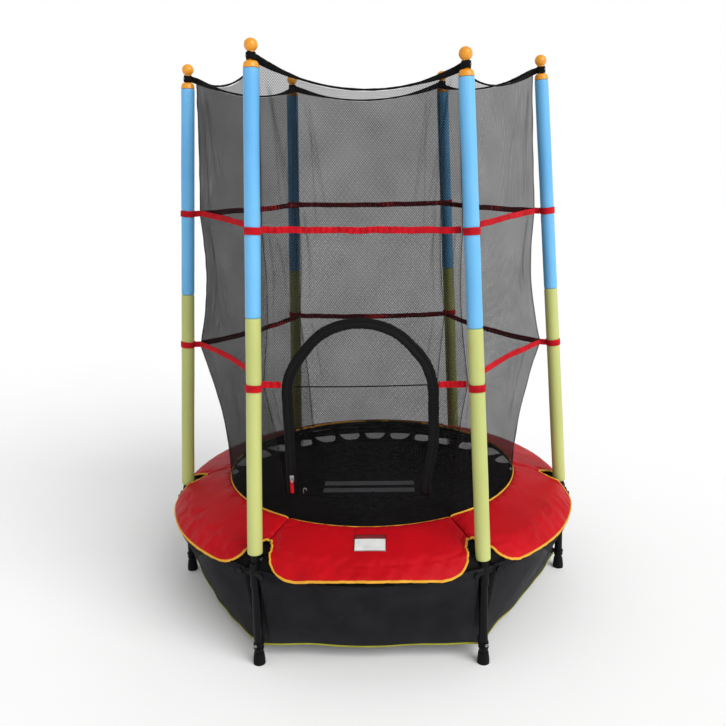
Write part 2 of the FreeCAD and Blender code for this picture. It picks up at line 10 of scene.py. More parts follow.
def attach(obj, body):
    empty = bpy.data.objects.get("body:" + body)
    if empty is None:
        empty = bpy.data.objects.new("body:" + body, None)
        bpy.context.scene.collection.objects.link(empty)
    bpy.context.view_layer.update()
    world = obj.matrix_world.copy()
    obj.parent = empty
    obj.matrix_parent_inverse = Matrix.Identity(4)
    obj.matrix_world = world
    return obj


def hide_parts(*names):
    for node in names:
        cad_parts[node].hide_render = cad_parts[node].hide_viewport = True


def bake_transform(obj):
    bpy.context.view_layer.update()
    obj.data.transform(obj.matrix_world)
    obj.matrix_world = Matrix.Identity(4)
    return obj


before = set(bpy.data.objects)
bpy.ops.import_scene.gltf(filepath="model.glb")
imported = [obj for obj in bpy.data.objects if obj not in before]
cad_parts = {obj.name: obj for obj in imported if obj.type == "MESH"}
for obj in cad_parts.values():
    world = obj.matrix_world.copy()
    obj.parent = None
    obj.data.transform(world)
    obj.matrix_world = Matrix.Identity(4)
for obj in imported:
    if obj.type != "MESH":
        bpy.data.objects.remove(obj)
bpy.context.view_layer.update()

# Looks of a round trampoline with a six-sided net, built around the CAD frame.
# Metres, +Z up. Poles 1 to 6 stand every 60 degrees from the front left one, and
# side k lies between poles k and k + 1; side 1 faces -Y and holds the doorway.

scene = bpy.context.scene
SIDES = range(1, 7)
UP = np.array([0.0, 0.0, 1.0])

RING_RADIUS, RING_HEIGHT = 0.630, 0.280
LEAN = math.radians(3.36)
LOW_STRAP, HIGH_STRAP = 0.793, 1.218
STRAP_WIDTH, STRAP_THICKNESS = 0.020, 0.0026
DOOR_CENTRE, DOOR_HALF, DOOR_SPRING, DOOR_SILL = -0.015, 0.2005, 0.760, 0.455
DOOR_GAP_HALF = 0.2075
# Start, joint and end of the two foam sleeves on each pole, measured along the pole.
SLEEVES = {number: (0.034, 0.689, 1.344) for number in SIDES}
SLEEVES.update({1: (0.050, 0.708, 1.358), 2: (0.029, 0.671, 1.322)})
# How much higher each strap sits at each pole than its level.
LOW_SHIFT = {1: 0.004, 2: -0.004, 3: -0.003, 4: 0.0, 5: 0.002, 6: 0.008}
HIGH_SHIFT = {1: 0.0, 2: -0.012, 3: 0.0, 4: 0.0, 5: 0.004, 6: 0.013}
HEM_REACH = 0.262
HEM_SAG = {1: 0.065, 2: 0.042, 3: 0.032, 4: 0.048, 5: 0.038, 6: 0.038}
PAD_INNER, PAD_FOLD, PAD_EDGE = 0.470, 0.618, 0.656
MAT_RADIUS, MAT_HEIGHT, ELASTIC_COUNT = 0.520, 0.280, 36


# ---------------------------------------------------------------- mesh building

class Shape:
    """Collects the vertices, faces, cloth coordinates and material numbers of one mesh."""

    def __init__(self):
        self.points, self.faces, self.cloth, self.kinds = [], [], [], []
        self.count = 0

    def grid(self, points, cloth, kind=0, wrap=False, flip=False):
        """points is (rows, columns, 3); cloth is (rows, columns, 2), with a column more when wrapped."""
        points, cloth = np.asarray(points, float), np.asarray(cloth, float)
        rows, columns = points.shape[:2]
        start = self.count
        self.points.extend(points.reshape(-1, 3).tolist())
        self.count += rows * columns
        for i in range(rows - 1):
            for j in range(columns if wrap else columns - 1):
                k = (j + 1) % columns
                corners = [(i, j, j), (i, k, j + 1), (i + 1, k, j + 1), (i + 1, j, j)]
                if flip:
                    corners.reverse()
                self.faces.append([start + a * columns + b for a, b, _ in corners])
                self.cloth.extend(tuple(cloth[a, c]) for a, _, c in corners)
                self.kinds.append(kind)
        return start

    def face(self, corners, kind=0):
        self.faces.append(list(corners))
        self.cloth.extend((0.0, 0.0) for _ in corners)
        self.kinds.append(kind)

    def make(self, name, materials, smooth=True):
        mesh = bpy.data.meshes.new(name)
        mesh.from_pydata(self.points, [], self.faces)
        layer = mesh.uv_layers.new(name="metres")
        layer.data.foreach_set("uv", np.array(self.cloth, np.float32).ravel())
        for material in materials:
            mesh.materials.append(material)
        mesh.polygons.foreach_set("material_index", self.kinds)
        mesh.polygons.foreach_set("use_smooth", [smooth] * len(self.faces))
        mesh.update()
        made = bpy.data.objects.new(name, mesh)
        scene.collection.objects.link(made)
        return made


def unit(vectors):
    vectors = np.asarray(vectors, float)
    return vectors / np.maximum(np.linalg.norm(vectors, axis=-1, keepdims=True), 1e-12)


def lengths_along(path):
    steps = np.linalg.norm(np.diff(path, axis=0), axis=1)
    return np.concatenate([[0.0], np.cumsum(steps)])


def sweep(shape, path, normals, profile, kind=0, closed=False, scale=(1.0, 1.0)):
    """Carry a closed profile of (across, out) points along a path; out follows the normals.

    normals is one vector or one a point, and scale sizes the profile across and out.
    """
    path, profile = np.asarray(path, float), np.asarray(profile, float)
    normals = np.broadcast_to(np.asarray(normals, float), path.shape)
    wide, tall = (np.broadcast_to(size, len(path)) for size in scale)
    if closed:
        path, normals = np.vstack([path, path[:1]]), np.vstack([normals, normals[:1]])
        wide, tall = np.append(wide, wide[0]), np.append(tall, tall[0])
    tangent = np.gradient(path, axis=0)
    if closed:
        tangent[0] = tangent[-1] = path[1] - path[-2]
    tangent = unit(tangent)
    out = unit(normals - tangent * np.sum(normals * tangent, axis=1, keepdims=True))
    across = np.cross(tangent, out)
    rings = (path[:, None, :]
             + across[:, None, :] * (profile[None, :, 0] * wide[:, None])[..., None]
             + out[:, None, :] * (profile[None, :, 1] * tall[:, None])[..., None])
    around = lengths_along(np.vstack([profile, profile[:1]]))
    cloth = np.stack(np.meshgrid(lengths_along(path), around, indexing="ij"), axis=-1)
    start = shape.grid(rings, cloth, kind, wrap=True, flip=True)
    if not closed:
        count = len(profile)
        last = start + (len(path) - 1) * count
        shape.face(range(start, start + count), kind)
        shape.face(range(last + count - 1, last - 1, -1), kind)


def ribbon_profile(width, thickness, columns=8):
    """Closed outline of a flat band with rounded edges."""
    half = width / 2
    xs = np.cos(np.linspace(0, math.pi, columns)) * half
    bulge = thickness / 2 * np.sqrt(np.maximum(1 - (xs / half) ** 6, 0.05))
    return list(zip(xs, bulge)) + list(zip(xs[::-1], -bulge[::-1]))


def full_turn(count):
    return np.linspace(0, 2 * math.pi, count, endpoint=False)


def oval(width, height, count=12):
    return [(width / 2 * math.cos(a), height / 2 * math.sin(a)) for a in full_turn(count)]


def straight(first, last, count):
    steps = np.linspace(0, 1, count)[:, None]
    return first * (1 - steps) + last * steps


def polar(radius, angle, height):
    """World points from distance to the vertical axis, angle round it and height."""
    return np.stack(np.broadcast_arrays(radius * np.cos(angle), radius * np.sin(angle), height), axis=-1)


def facing(angle):
    """Outward and sideways unit vectors at an angle round the vertical axis."""
    return (np.array([math.cos(angle), math.sin(angle), 0.0]),
            np.array([-math.sin(angle), math.cos(angle), 0.0]))


def lathe(shape, matrix, profile, segments, wobble=None):
    """Turn a profile of (radius, height) points round the matrix's Z axis."""
    profile = np.asarray(profile, float)
    turns = full_turn(segments)
    radius = np.repeat(profile[:, :1], segments, axis=1)
    if wobble is not None:
        radius = radius + wobble(profile[:, 1:], turns[None, :])
    m = np.array(matrix)
    world = polar(radius, turns, profile[:, 1:]) @ m[:3, :3].T + m[:3, 3]
    around = np.arange(segments + 1) * 2 * math.pi / segments * profile[:, 0].max()
    cloth = np.stack(np.meshgrid(lengths_along(profile), around, indexing="ij"), axis=-1)[..., ::-1]
    shape.grid(world, cloth, wrap=True)


def turned(matrix, x, y, z):
    return np.array(matrix @ Vector((x, y, z)))


def band_round(shape, matrix, radius, middle, wave, profile, swell=1.0):
    """Lay a band once round a matrix's Z axis; wave lifts each point and swell widens the band."""
    ring = np.array([turned(matrix, radius * math.cos(a), radius * math.sin(a), middle + lift)
                     for a, lift in zip(full_turn(len(wave)), wave)])
    sweep(shape, ring, ring - turned(matrix, 0, 0, middle), profile, closed=True, scale=(swell, 1.0))


def add_stitch(shape, middle, ahead, profile, kind=0):
    sweep(shape, [middle - ahead, middle, middle + ahead], UP, profile, kind)


def settle(piece, node=None, body="frame"):
    """Let a piece ride on a body and stand for a CAD node."""
    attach(piece, body)
    if node:
        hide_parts(node)


def pole_angle(number):
    return math.radians(-120 + 60 * (number - 1))


def pole_matrix(number):
    """Frame of one pole: origin on the ring tube, Z up along the leaning pole, X outward."""
    return (Matrix.Rotation(pole_angle(number), 4, "Z") @ Matrix.Translation((RING_RADIUS, 0, RING_HEIGHT))
            @ Matrix.Rotation(-LEAN, 4, "Y"))


def side_angle(number):
    return math.radians(-90 + 60 * (number - 1))


def side_world(number, x, y, z):
    """World points of local outward x, sideways y and height z on one side."""
    a = side_angle(number)
    x, y, z = np.broadcast_arrays(x, y, z)
    return np.stack([x * math.cos(a) - y * math.sin(a), x * math.sin(a) + y * math.cos(a), z], axis=-1)


def strap_level(level, number):
    """Height of a strap at one pole; the straps don't run quite level."""
    return level + (LOW_SHIFT if level == LOW_STRAP else HIGH_SHIFT)[number]


def strap_height(level, number, t):
    """Height of a strap along one side."""
    first, last = strap_level(level, number), strap_level(level, number % 6 + 1)
    return first + (last - first) * (np.asarray(t, float) + 1) / 2


def loop_height(level, number):
    """Where a strap's loop sits on a pole, measured along the pole."""
    return (strap_level(level, number) - RING_HEIGHT) / math.cos(LEAN)


def side_normal(number):
    return facing(side_angle(number))[0]


def wave_noise(seed, *coordinates):
    """Smooth repeatable unevenness, about -1 to 1, from a few summed waves."""
    draw = np.random.default_rng(seed)
    total = 0.0
    for _ in range(6):
        phase = draw.uniform(0, 2 * math.pi)
        rates = draw.normal(0, 1, len(coordinates))
        total = total + np.sin(sum(c * rate for c, rate in zip(coordinates, rates)) + phase)
    return total / 3.0


def ease(value):
    value = np.clip(value, 0, 1)
    return value * value * (3 - 2 * value)


# ---------------------------------------------------------------- materials

class Skin:
    """A node material: a Principled surface with helpers that add nodes to it."""

    def __init__(self, name, **sockets):
        self.material = bpy.data.materials.new(name)
        self.material.use_nodes = True
        self.tree = self.material.node_tree
        self.tree.nodes.clear()
        output = self.tree.nodes.new("ShaderNodeOutputMaterial")
        self.surface = self.tree.nodes.new("ShaderNodeBsdfPrincipled")
        self.tree.links.new(self.surface.outputs[0], output.inputs[0])
        for socket, value in sockets.items():
            self.set(socket.replace("_", " "), value)

    def set(self, socket, value):
        target = self.surface.inputs[socket]
        if hasattr(value, "is_output"):
            self.tree.links.new(value, target)
        else:
            target.default_value = value

    def add(self, kind, *values, **properties):
        node = self.tree.nodes.new(kind)
        for key, value in properties.items():
            if key in node.inputs and not hasattr(node, key):
                node.inputs[key].default_value = value
            else:
                setattr(node, key, value)
        for index, value in enumerate(values):
            if value is None:
                continue
            if hasattr(value, "is_output"):
                self.tree.links.new(value, node.inputs[index])
            else:
                node.inputs[index].default_value = value
        return node

    def math(self, operation, *values):
        return self.add("ShaderNodeMath", *values, operation=operation).outputs[0]

    def cloth(self):
        """Length and width along the cloth, in metres."""
        split = self.add("ShaderNodeSeparateXYZ", self.add("ShaderNodeUVMap", uv_map="metres").outputs[0])
        return split.outputs[0], split.outputs[1]

    def place(self):
        return self.add("ShaderNodeTexCoord").outputs["Object"]

    def noise(self, scale, detail, stretch=None, rough=0.5):
        where = self.place()
        if stretch:
            mapping = self.add("ShaderNodeMapping", where)
            mapping.inputs["Scale"].default_value = stretch
            where = mapping.outputs[0]
        node = self.add("ShaderNodeTexNoise", where)
        node.inputs["Scale"].default_value = scale
        node.inputs["Detail"].default_value = detail
        node.inputs["Roughness"].default_value = rough
        return node.outputs[0]

    def span(self, value, low, high, to_low=0.0, to_high=1.0):
        node = self.add("ShaderNodeMapRange", value, low, high, to_low, to_high)
        node.clamp = True
        return node.outputs[0]

    def mix(self, factor, first, second):
        node = self.tree.nodes.new("ShaderNodeMix")
        node.data_type = "RGBA"
        for index, value in ((0, factor), (6, first), (7, second)):
            if hasattr(value, "is_output"):
                self.tree.links.new(value, node.inputs[index])
            else:
                node.inputs[index].default_value = value if index == 0 else colour(*value)
        return node.outputs[2]

    def tint(self, factor, first, second):
        self.set("Base Color", self.mix(factor, first, second))

    def gloss(self, scale, detail, low, high, top=0.7):
        """Roughness that wanders from low to high with a noise."""
        self.set("Roughness", self.span(self.noise(scale, detail), 0.3, top, low, high))

    def relief(self, *bump):
        self.set("Normal", self.bump(*bump))

    def bump(self, height, distance, strength=1.0, under=None):
        node = self.tree.nodes.new("ShaderNodeBump")
        node.inputs["Strength"].default_value = strength
        node.inputs["Distance"].default_value = distance
        self.tree.links.new(height, node.inputs["Height"])
        if under is not None:
            self.tree.links.new(under, node.inputs["Normal"])
        return node.outputs[0]

    def weave(self, pitch_u, pitch_v=None):
        """Height of a plain over-and-under weave of two thread directions."""
        u, v = self.cloth()
        su = self.math("SINE", self.math("MULTIPLY", u, math.pi / pitch_u))
        sv = self.math("SINE", self.math("MULTIPLY", v, math.pi / (pitch_v or pitch_u)))
        return self.math("MULTIPLY_ADD", self.math("MULTIPLY", su, sv), 0.5, 0.5)


def colour(*srgb):
    """Linear colour of an sRGB colour in 0 to 255."""
    values = [c / 255 for c in srgb[:3]]
    return tuple(c / 12.92 if c <= 0.04045 else ((c + 0.055) / 1.055) ** 2.4 for c in values) + (1.0,)


def moulded(name, base, deep, roughness, **sockets):
    """Moulded plastic or rubber: faint mottling, fine texture, handling marks in the gloss."""
    skin = Skin(name, **sockets)
    skin.tint(skin.span(skin.noise(14, 4), 0.35, 0.7), base, deep)
    skin.gloss(45, 5, roughness - 0.07, roughness + 0.1, 0.75)
    skin.relief(skin.noise(900.0, 2), 0.00012, 0.6)
    return skin.material


def coated_steel():
    """Black powder coat with orange-peel texture and light scuffs."""
    skin = Skin("black powder coat", Specular_IOR_Level=0.12)
    scuff = skin.span(skin.noise(60, 6, stretch=(1, 1, 0.25)), 0.66, 0.74)
    skin.tint(skin.math("MULTIPLY", scuff, 0.35), (9, 9, 10), (44, 43, 42))
    skin.gloss(30, 4, 0.36, 0.52)
    skin.relief(skin.noise(650, 2), 0.00015, 0.7)
    return skin.material


def foam_skin(name, base, deep):
    """Foam tube in a thin shiny plastic film: soft colour shifts, pebbled cells below."""
    skin = Skin(name, Coat_Weight=0.10, Coat_Roughness=0.3, Specular_IOR_Level=0.25)
    tone = skin.span(skin.noise(9, 4, stretch=(1, 1, 0.3)), 0.3, 0.72)
    fleck = skin.span(skin.noise(420, 2), 0.62, 0.8, 0.0, 0.35)
    skin.tint(fleck, skin.mix(tone, base, deep), deep)
    skin.gloss(70, 4, 0.38, 0.52)
    cells = skin.add("ShaderNodeTexVoronoi", skin.place(), Scale=420.0).outputs["Distance"]
    wrinkles = skin.bump(skin.noise(55, 3, stretch=(1, 1, 0.4)), 0.0008, 0.35)
    skin.relief(cells, 0.0002, 0.4, wrinkles)
    return skin.material


def webbing(name, base, deep, pitch=0.0012, roughness=0.75, sheen=0.15, ribs=True):
    """Woven tape: ribs across, threads along, colour a little darker on the low threads than on the high
    ones.
    """
    skin = Skin(name, Sheen_Weight=sheen, Sheen_Roughness=0.5, Specular_IOR_Level=0.12)
    weave = skin.weave(pitch, pitch * 0.8)
    turns = skin.math("MULTIPLY", skin.cloth()[0], 2 * math.pi / (pitch * 3))
    rib = skin.math("MULTIPLY_ADD", skin.math("SINE", turns), 0.5, 0.5)
    height = skin.math("MULTIPLY_ADD", rib, 0.6 if ribs else 0.1, weave)
    soft = skin.span(skin.noise(35, 4), 0.3, 0.72)
    skin.tint(skin.span(height, 0.1, 1.4, 0.35, 0.0), skin.mix(soft, base, deep), deep)
    skin.gloss(80, 3, roughness - 0.08, roughness + 0.1)
    skin.relief(height, 0.0003, 0.8)
    return skin.material


def netting(name, pitch, cover, contrast, base, deep, seam=True):
    """Knitted mesh: diamond holes between dark threads, denser where the crease value says."""
    skin = Skin(name, Specular_IOR_Level=0.08, Roughness=0.85)
    u, v = skin.cloth()
    threads = []
    for sign in (1.0, -1.0):
        slant = skin.math("MULTIPLY_ADD", v, sign * 0.8, u)
        wave = skin.math("SINE", skin.math("MULTIPLY", slant, 2 * math.pi / pitch))
        threads.append(skin.math("MULTIPLY_ADD", wave, 0.5, 0.5))
    thread = skin.math("MAXIMUM", *threads)
    uneven = skin.span(skin.noise(7, 3), 0.3, 0.7, -0.035, 0.035)
    alpha = skin.math("MULTIPLY_ADD", thread, contrast, cover - contrast * 0.72)
    alpha = skin.math("ADD", alpha, uneven)
    if seam:
        # On the enclosure net the crease value also carries painted shade on the left sides and painted light
        # on the right sides.
        crease = skin.add("ShaderNodeAttribute", attribute_name="crease").outputs["Fac"]
        alpha = skin.math("ADD", alpha, crease)
    skin.set("Alpha", skin.span(alpha, 0.0, 1.0))
    skin.tint(skin.span(skin.noise(11, 3), 0.3, 0.7), base, deep)
    skin.relief(thread, 0.0005, 0.5)
    return skin.material


def pad_cover():
    """Coated polyester: fine oxford weave under a soft vinyl shine, faint creases and dust."""
    skin = Skin("pad red vinyl", Specular_IOR_Level=0.09, Coat_Weight=0.015, Coat_Roughness=0.35)
    tone = skin.span(skin.noise(7, 5), 0.3, 0.72)
    worn = skin.span(skin.noise(26, 6, rough=0.65), 0.62, 0.82, 0.0, 0.35)
    skin.tint(worn, skin.mix(tone, (188, 8, 22), (166, 6, 18)), (206, 36, 48))
    skin.gloss(18, 5, 0.44, 0.62, 0.72)
    creases = skin.bump(skin.noise(16, 5, rough=0.55), 0.004, 0.3)
    skin.relief(skin.weave(0.0011), 0.00025, 0.55, creases)
    return skin.material


def lining():
    """Black slit-film lining of the pad's underside."""
    skin = Skin("pad black lining", Specular_IOR_Level=0.08)
    weave = skin.weave(0.0022)
    skin.tint(weave, (6, 6, 7), (14, 14, 15))
    skin.gloss(30, 4, 0.5, 0.7)
    skin.relief(weave, 0.0004, 0.7)
    return skin.material


def mat_weave():
    """Woven polypropylene bed with two plain printed bands in place of any lettering."""
    print_x, print_y, half_width, half_depth, half_gap = -0.012, 0.045, 0.155, 0.048, 0.012
    skin = Skin("jumping mat weave", Specular_IOR_Level=0.10)
    weave = skin.weave(0.0024)
    split = skin.add("ShaderNodeSeparateXYZ", skin.place())
    across, depth = (skin.math("ABSOLUTE", skin.math("SUBTRACT", split.outputs[axis], middle))
                     for axis, middle in enumerate((print_x, print_y)))
    inside = skin.math("MULTIPLY", skin.math("LESS_THAN", across, half_width),
                       skin.math("LESS_THAN", depth, half_depth))
    bands = skin.math("MULTIPLY", skin.math("GREATER_THAN", depth, half_gap), 0.75)
    fade = skin.span(skin.noise(300, 3), 0.35, 0.6, 0.35, 1.0)
    printed = skin.math("MULTIPLY", skin.math("MULTIPLY", inside, bands), fade)
    scuff = skin.span(skin.noise(9, 6), 0.5, 0.8, 0.0, 0.6)
    base = skin.mix(scuff, skin.mix(weave, (6, 6, 7), (15, 15, 17)), (24, 24, 26))
    skin.tint(printed, base, (150, 152, 156))
    skin.gloss(40, 4, 0.55, 0.75)
    skin.relief(weave, 0.0004, 0.7)
    return skin.material


def metal(name, tone, roughness=0.25):
    skin = Skin(name, Metallic=1.0)
    skin.tint(skin.noise(90, 4), tone, tuple(c * 0.8 for c in tone))
    skin.gloss(150, 4, roughness, roughness + 0.2)
    skin.relief(skin.noise(700, 2), 0.00008, 0.5)
    return skin.material


def floor_skin():
    skin = Skin("pale floor", Specular_IOR_Level=0.1)
    skin.tint(skin.noise(3, 3), (251, 251, 251), (254, 254, 254))
    skin.gloss(20, 3, 0.8, 0.95)
    return skin.material


BLACK_STEEL = coated_steel()
FOAM_BLUE = foam_skin("blue foam film", (108, 178, 224), (92, 162, 212))
FOAM_GREEN = foam_skin("green foam film", (184, 190, 116), (170, 176, 104))
ORANGE = moulded("orange moulded plastic", (226, 150, 18), (212, 134, 12), 0.3, Coat_Weight=0.2,
                 Coat_Roughness=0.15, Specular_IOR_Level=0.5)
FOOT_RUBBER = moulded("foot rubber", (8, 8, 8), (15, 15, 15), 0.6, Specular_IOR_Level=0.1)
BOLT_BLACK = moulded("black knob plastic", (9, 9, 10), (16, 16, 17), 0.42, Specular_IOR_Level=0.14)
NET = netting("enclosure net", 0.0062, 0.565, 0.44, (10, 10, 11), (18, 18, 19))
DOOR_NET = netting("door net", 0.0062, 0.585, 0.44, (10, 10, 11), (18, 18, 19), seam=False)
SKIRT_NET = netting("skirt net", 0.0040, 0.945, 0.10, (22, 22, 25), (32, 32, 35))
BLACK_TAPE = webbing("black webbing", (8, 8, 9), (14, 14, 15), roughness=0.8, sheen=0.0)
ZIP_TAPE = webbing("zip binding nylon", (3, 3, 4), (7, 7, 8), roughness=0.40, sheen=0.0)
ELASTIC = webbing("black elastic", (7, 7, 8), (13, 13, 14), 0.0016, roughness=0.78, sheen=0.0)
RED_STRAP = webbing("red webbing", (206, 14, 32), (150, 6, 18), sheen=0.04)
PIPING = webbing("yellow piping", (232, 176, 62), (206, 148, 44), 0.0010, sheen=0.05, ribs=False)
SKIRT_BINDING = webbing("skirt binding", (160, 158, 58), (132, 130, 44), 0.0010, sheen=0.04, ribs=False)
PAD_RED = pad_cover()
PAD_BLACK = lining()
MAT = mat_weave()
ZIP_METAL = metal("zip metal", (176, 178, 182))
PATCH = webbing("patch white", (232, 232, 230), (206, 206, 204), 0.0008, ribs=False)
PATCH_BAND = webbing("patch maroon", (128, 22, 30), (104, 16, 24), 0.0008, ribs=False)


# ---------------------------------------------------------------- camera, light, floor

def make_camera():
    yaw, pitch, roll = math.radians(-1.903), math.radians(10.072), math.radians(-1.331)
    ahead = Vector((math.sin(yaw) * math.cos(pitch), math.cos(yaw) * math.cos(pitch), -math.sin(pitch)))
    right = Vector((math.cos(yaw), -math.sin(yaw), 0))
    up = right.cross(ahead)
    side = right * math.cos(roll) + up * math.sin(roll)
    top = up * math.cos(roll) - right * math.sin(roll)
    data = bpy.data.cameras.new("camera")
    data.sensor_width = 36.0
    data.lens = 41.85
    data.shift_y = -0.0891
    data.clip_start, data.clip_end = 0.05, 60
    camera = bpy.data.objects.new("camera", data)
    turn = Matrix((side, top, -ahead)).transposed().to_4x4()
    camera.matrix_world = Matrix.Translation((0.073, -2.705, 1.425)) @ turn
    scene.collection.objects.link(camera)
    scene.camera = camera


def make_studio():
    world = bpy.data.worlds.new("studio")
    world.use_nodes = True
    tree = world.node_tree
    background = tree.nodes["Background"]
    background.inputs[0].default_value = (1, 1, 1, 1)
    direction = tree.nodes.new("ShaderNodeSeparateXYZ")
    tree.links.new(tree.nodes.new("ShaderNodeTexCoord").outputs["Generated"], direction.inputs[0])
    dome = tree.nodes.new("ShaderNodeMapRange")
    for index, value in enumerate((0.24, 0.42, 1.0, 0.59), start=1):
        dome.inputs[index].default_value = value
    tree.links.new(direction.outputs[2], dome.inputs[0])
    tree.links.new(dome.outputs[0], background.inputs[1])
    scene.world = world
    scene.view_settings.view_transform = "Standard"
    scene.view_settings.look = "None"
    data = bpy.data.lights.new("key", "SUN")
    data.energy, data.angle = 2.35, math.radians(48)
    key = bpy.data.objects.new("key", data)
    key.rotation_mode = "QUATERNION"
    key.rotation_quaternion = Vector((0.62, -0.62, 0.60)).to_track_quat("Z", "Y")
    scene.collection.objects.link(key)
    size = 14.0
    shape = Shape()
    shape.grid([[(-size, -size, 0), (size, -size, 0)], [(-size, size, 0), (size, size, 0)]],
               [[(0, 0), (1, 0)], [(0, 1), (1, 1)]])
    floor = shape.make("floor", [floor_skin()], False)


# ---------------------------------------------------------------- foam sleeves, caps

def make_sleeve(number, name, start, end, material):
    """Foam tube: rounded ends, pinched where the strap loops squeeze it, never quite even."""
    outer, inner, lip = 0.0209, 0.0129, 0.0004
    heights = np.concatenate([[start + lip, start + 0.002], np.linspace(start + 0.005, end - 0.005, 70),
                              [end - 0.002, end - lip]])
    radii = np.full(len(heights), outer)
    radii[[0, -1]] = outer - 0.0022
    radii[[1, -2]] = outer - 0.0006
    for level in (LOW_STRAP, HIGH_STRAP):
        near = (heights - loop_height(level, number)) / 0.013
        radii = radii - 0.0012 * np.exp(-near ** 4) + 0.0003 * np.exp(-((np.abs(near) - 1.7) / 0.5) ** 2)
    profile = [(inner, start + lip)] + list(zip(radii, heights)) + [(inner, end - lip), (inner, start + lip)]

    def wobble(height, turn):
        uneven = wave_noise(number * 7 + len(name), height * 14, np.cos(turn) * 1.4, np.sin(turn) * 1.4)
        return 0.00035 * uneven * (height > start + 0.001) * (height < end - 0.001)

    shape = Shape()
    lathe(shape, pole_matrix(number), profile, 48, wobble)
    return shape.make(name, [material])


def make_caps():
    """Moulded cap: flat rim, dome, neck and ball, with the mould's parting line on the ball."""
    shape = Shape()
    radius = 0.018
    for number in SIDES:
        base = SLEEVES[number][2]
        centre = base + 0.057
        profile = [(0.0107, base - 0.025), (0.0107, base), (0.0205, base), (0.0210, base + 0.0006),
                   (0.0210, base + 0.0032), (0.0204, base + 0.0040)]
        for a in np.linspace(0.08, math.pi / 2 - 0.01, 10):
            profile.append((0.0098 + 0.0106 * math.cos(a) ** 0.75, base + 0.0040 + 0.0135 * math.sin(a)))
        profile += [(0.0096, base + 0.020), (0.0094, base + 0.038), (0.0100, base + 0.0415)]
        for a in np.linspace(math.radians(-57), math.radians(90), 26)[:-1]:
            reach = radius + 0.00022 * math.exp(-(a / 0.035) ** 2)
            profile.append((reach * math.cos(a), centre + reach * math.sin(a)))
        lathe(shape, pole_matrix(number), profile + [(0.0001, centre + radius)], 48)
    settle(shape.make("pole_caps_moulded", [ORANGE]), "pole_caps")


def make_sleeves():
    for number in SIDES:
        start, joint, end = SLEEVES[number]
        for part, low, high, skin, finish in (("lower", start, joint, FOAM_GREEN, "foam_green"),
                                              ("upper", joint, end, FOAM_BLUE, "foam_blue")):
            piece = make_sleeve(number, "%s_foam_%d" % (part, number), low, high, skin)
            settle(piece, "%s_sleeve_%d" % (part, number))


# ---------------------------------------------------------------- net, door, hem, straps

TAN_HALF = math.tan(math.radians(30))
NET_FOOT, NET_HEAD = 0.366, 1.668
NET_LEVELS = np.array([NET_FOOT, LOW_STRAP, HIGH_STRAP, NET_HEAD])
NET_OUT = np.array([0.467, 0.4831, 0.4632, 0.4528])


def net_point(number, t, z, soft=1.0):
    """Local outward and sideways place of a side's net; t runs from -1 to 1 across the side.

    The net is round at the pad and flat from the low strap up; soft draws it in between straps.
    """
    t, z = np.broadcast_arrays(np.asarray(t, float), np.asarray(z, float))
    flat_out = np.interp(z, NET_LEVELS, NET_OUT)
    flat_side = flat_out * TAN_HALF * t
    curl = np.clip((NET_LEVELS[1] - z) / (NET_LEVELS[1] - NET_LEVELS[0]), 0, 1)
    angle = np.radians(30) * t
    out = np.where(curl > 0, curl * NET_OUT[0] * np.cos(angle) + (1 - curl) * NET_OUT[1], flat_out)
    side = np.where(curl > 0, curl * NET_OUT[0] * np.sin(angle) + (1 - curl) * NET_OUT[1] * TAN_HALF * t,
                    flat_side)
    pinch = 0.0
    for low, high, depth in zip(NET_LEVELS, NET_LEVELS[1:], (0.012, 0.020, 0.002)):
        inside = (z >= low) & (z <= high)
        pinch = pinch + inside * depth * np.sin(np.pi * np.clip((z - low) / (high - low), 0, 1))
    bow = np.interp(z, [NET_FOOT, LOW_STRAP, HIGH_STRAP, 1.65], [0.0, 0.026, 0.018, 0.012]) * (1 - t * t)
    if number == 1:
        corner = ease((np.abs(t) - 0.86) / 0.14)
        above = ease((z - 1.0) / 0.12)
        pinch = pinch * (corner + (1 - corner) * above)
        bow = bow * above * 0.5
    return (out - soft * (pinch * math.cos(math.radians(30)) + bow),
            side - soft * pinch * 0.5 * t)


def net_half(number, z):
    """Half the width of a side's net at a height."""
    return np.abs(net_point(number, 1.0, z, 0.0)[1])


def neck_height(number):
    """Height at which the top hem meets a pole."""
    return RING_HEIGHT + (SLEEVES[number][2] + 0.028) * math.cos(LEAN) - 0.0046


def hem_height(number, side):
    """Height of the sagging top hem of one side: an arc through its two poles."""
    first, last = neck_height(number), neck_height(number % 6 + 1)
    sag, rise = HEM_SAG[number], last - first
    chord = math.hypot(2 * HEM_REACH, rise)
    radius = (chord ** 2 / 4 + sag ** 2) / (2 * sag)
    above = radius - sag
    centre, lift = -rise / chord * above, (first + last) / 2 + 2 * HEM_REACH / chord * above
    place = np.clip(side, -HEM_REACH, HEM_REACH) - centre
    return lift - np.sqrt(radius ** 2 - place ** 2)


CREASES = (
    (1.610, 0.24, 0.30), (1.600, 0.13, 0.38), (1.590, 0.05, 0.40), (1.215, 0.05, 0.30), (1.205, 0.12, 0.20),
    (0.790, 0.05, 0.24),
)
# Painted shade and light per side of the net: plus makes a side denser and darker (painted shade on the left
# sides 5 and 6), minus makes it more see-through and lighter (painted light on the right sides 2 and 3).
PAINTED_SIDE_SHADE = {1: 0.0, 2: -0.07, 3: -0.02, 4: 0.0, 5: 0.12, 6: 0.15}


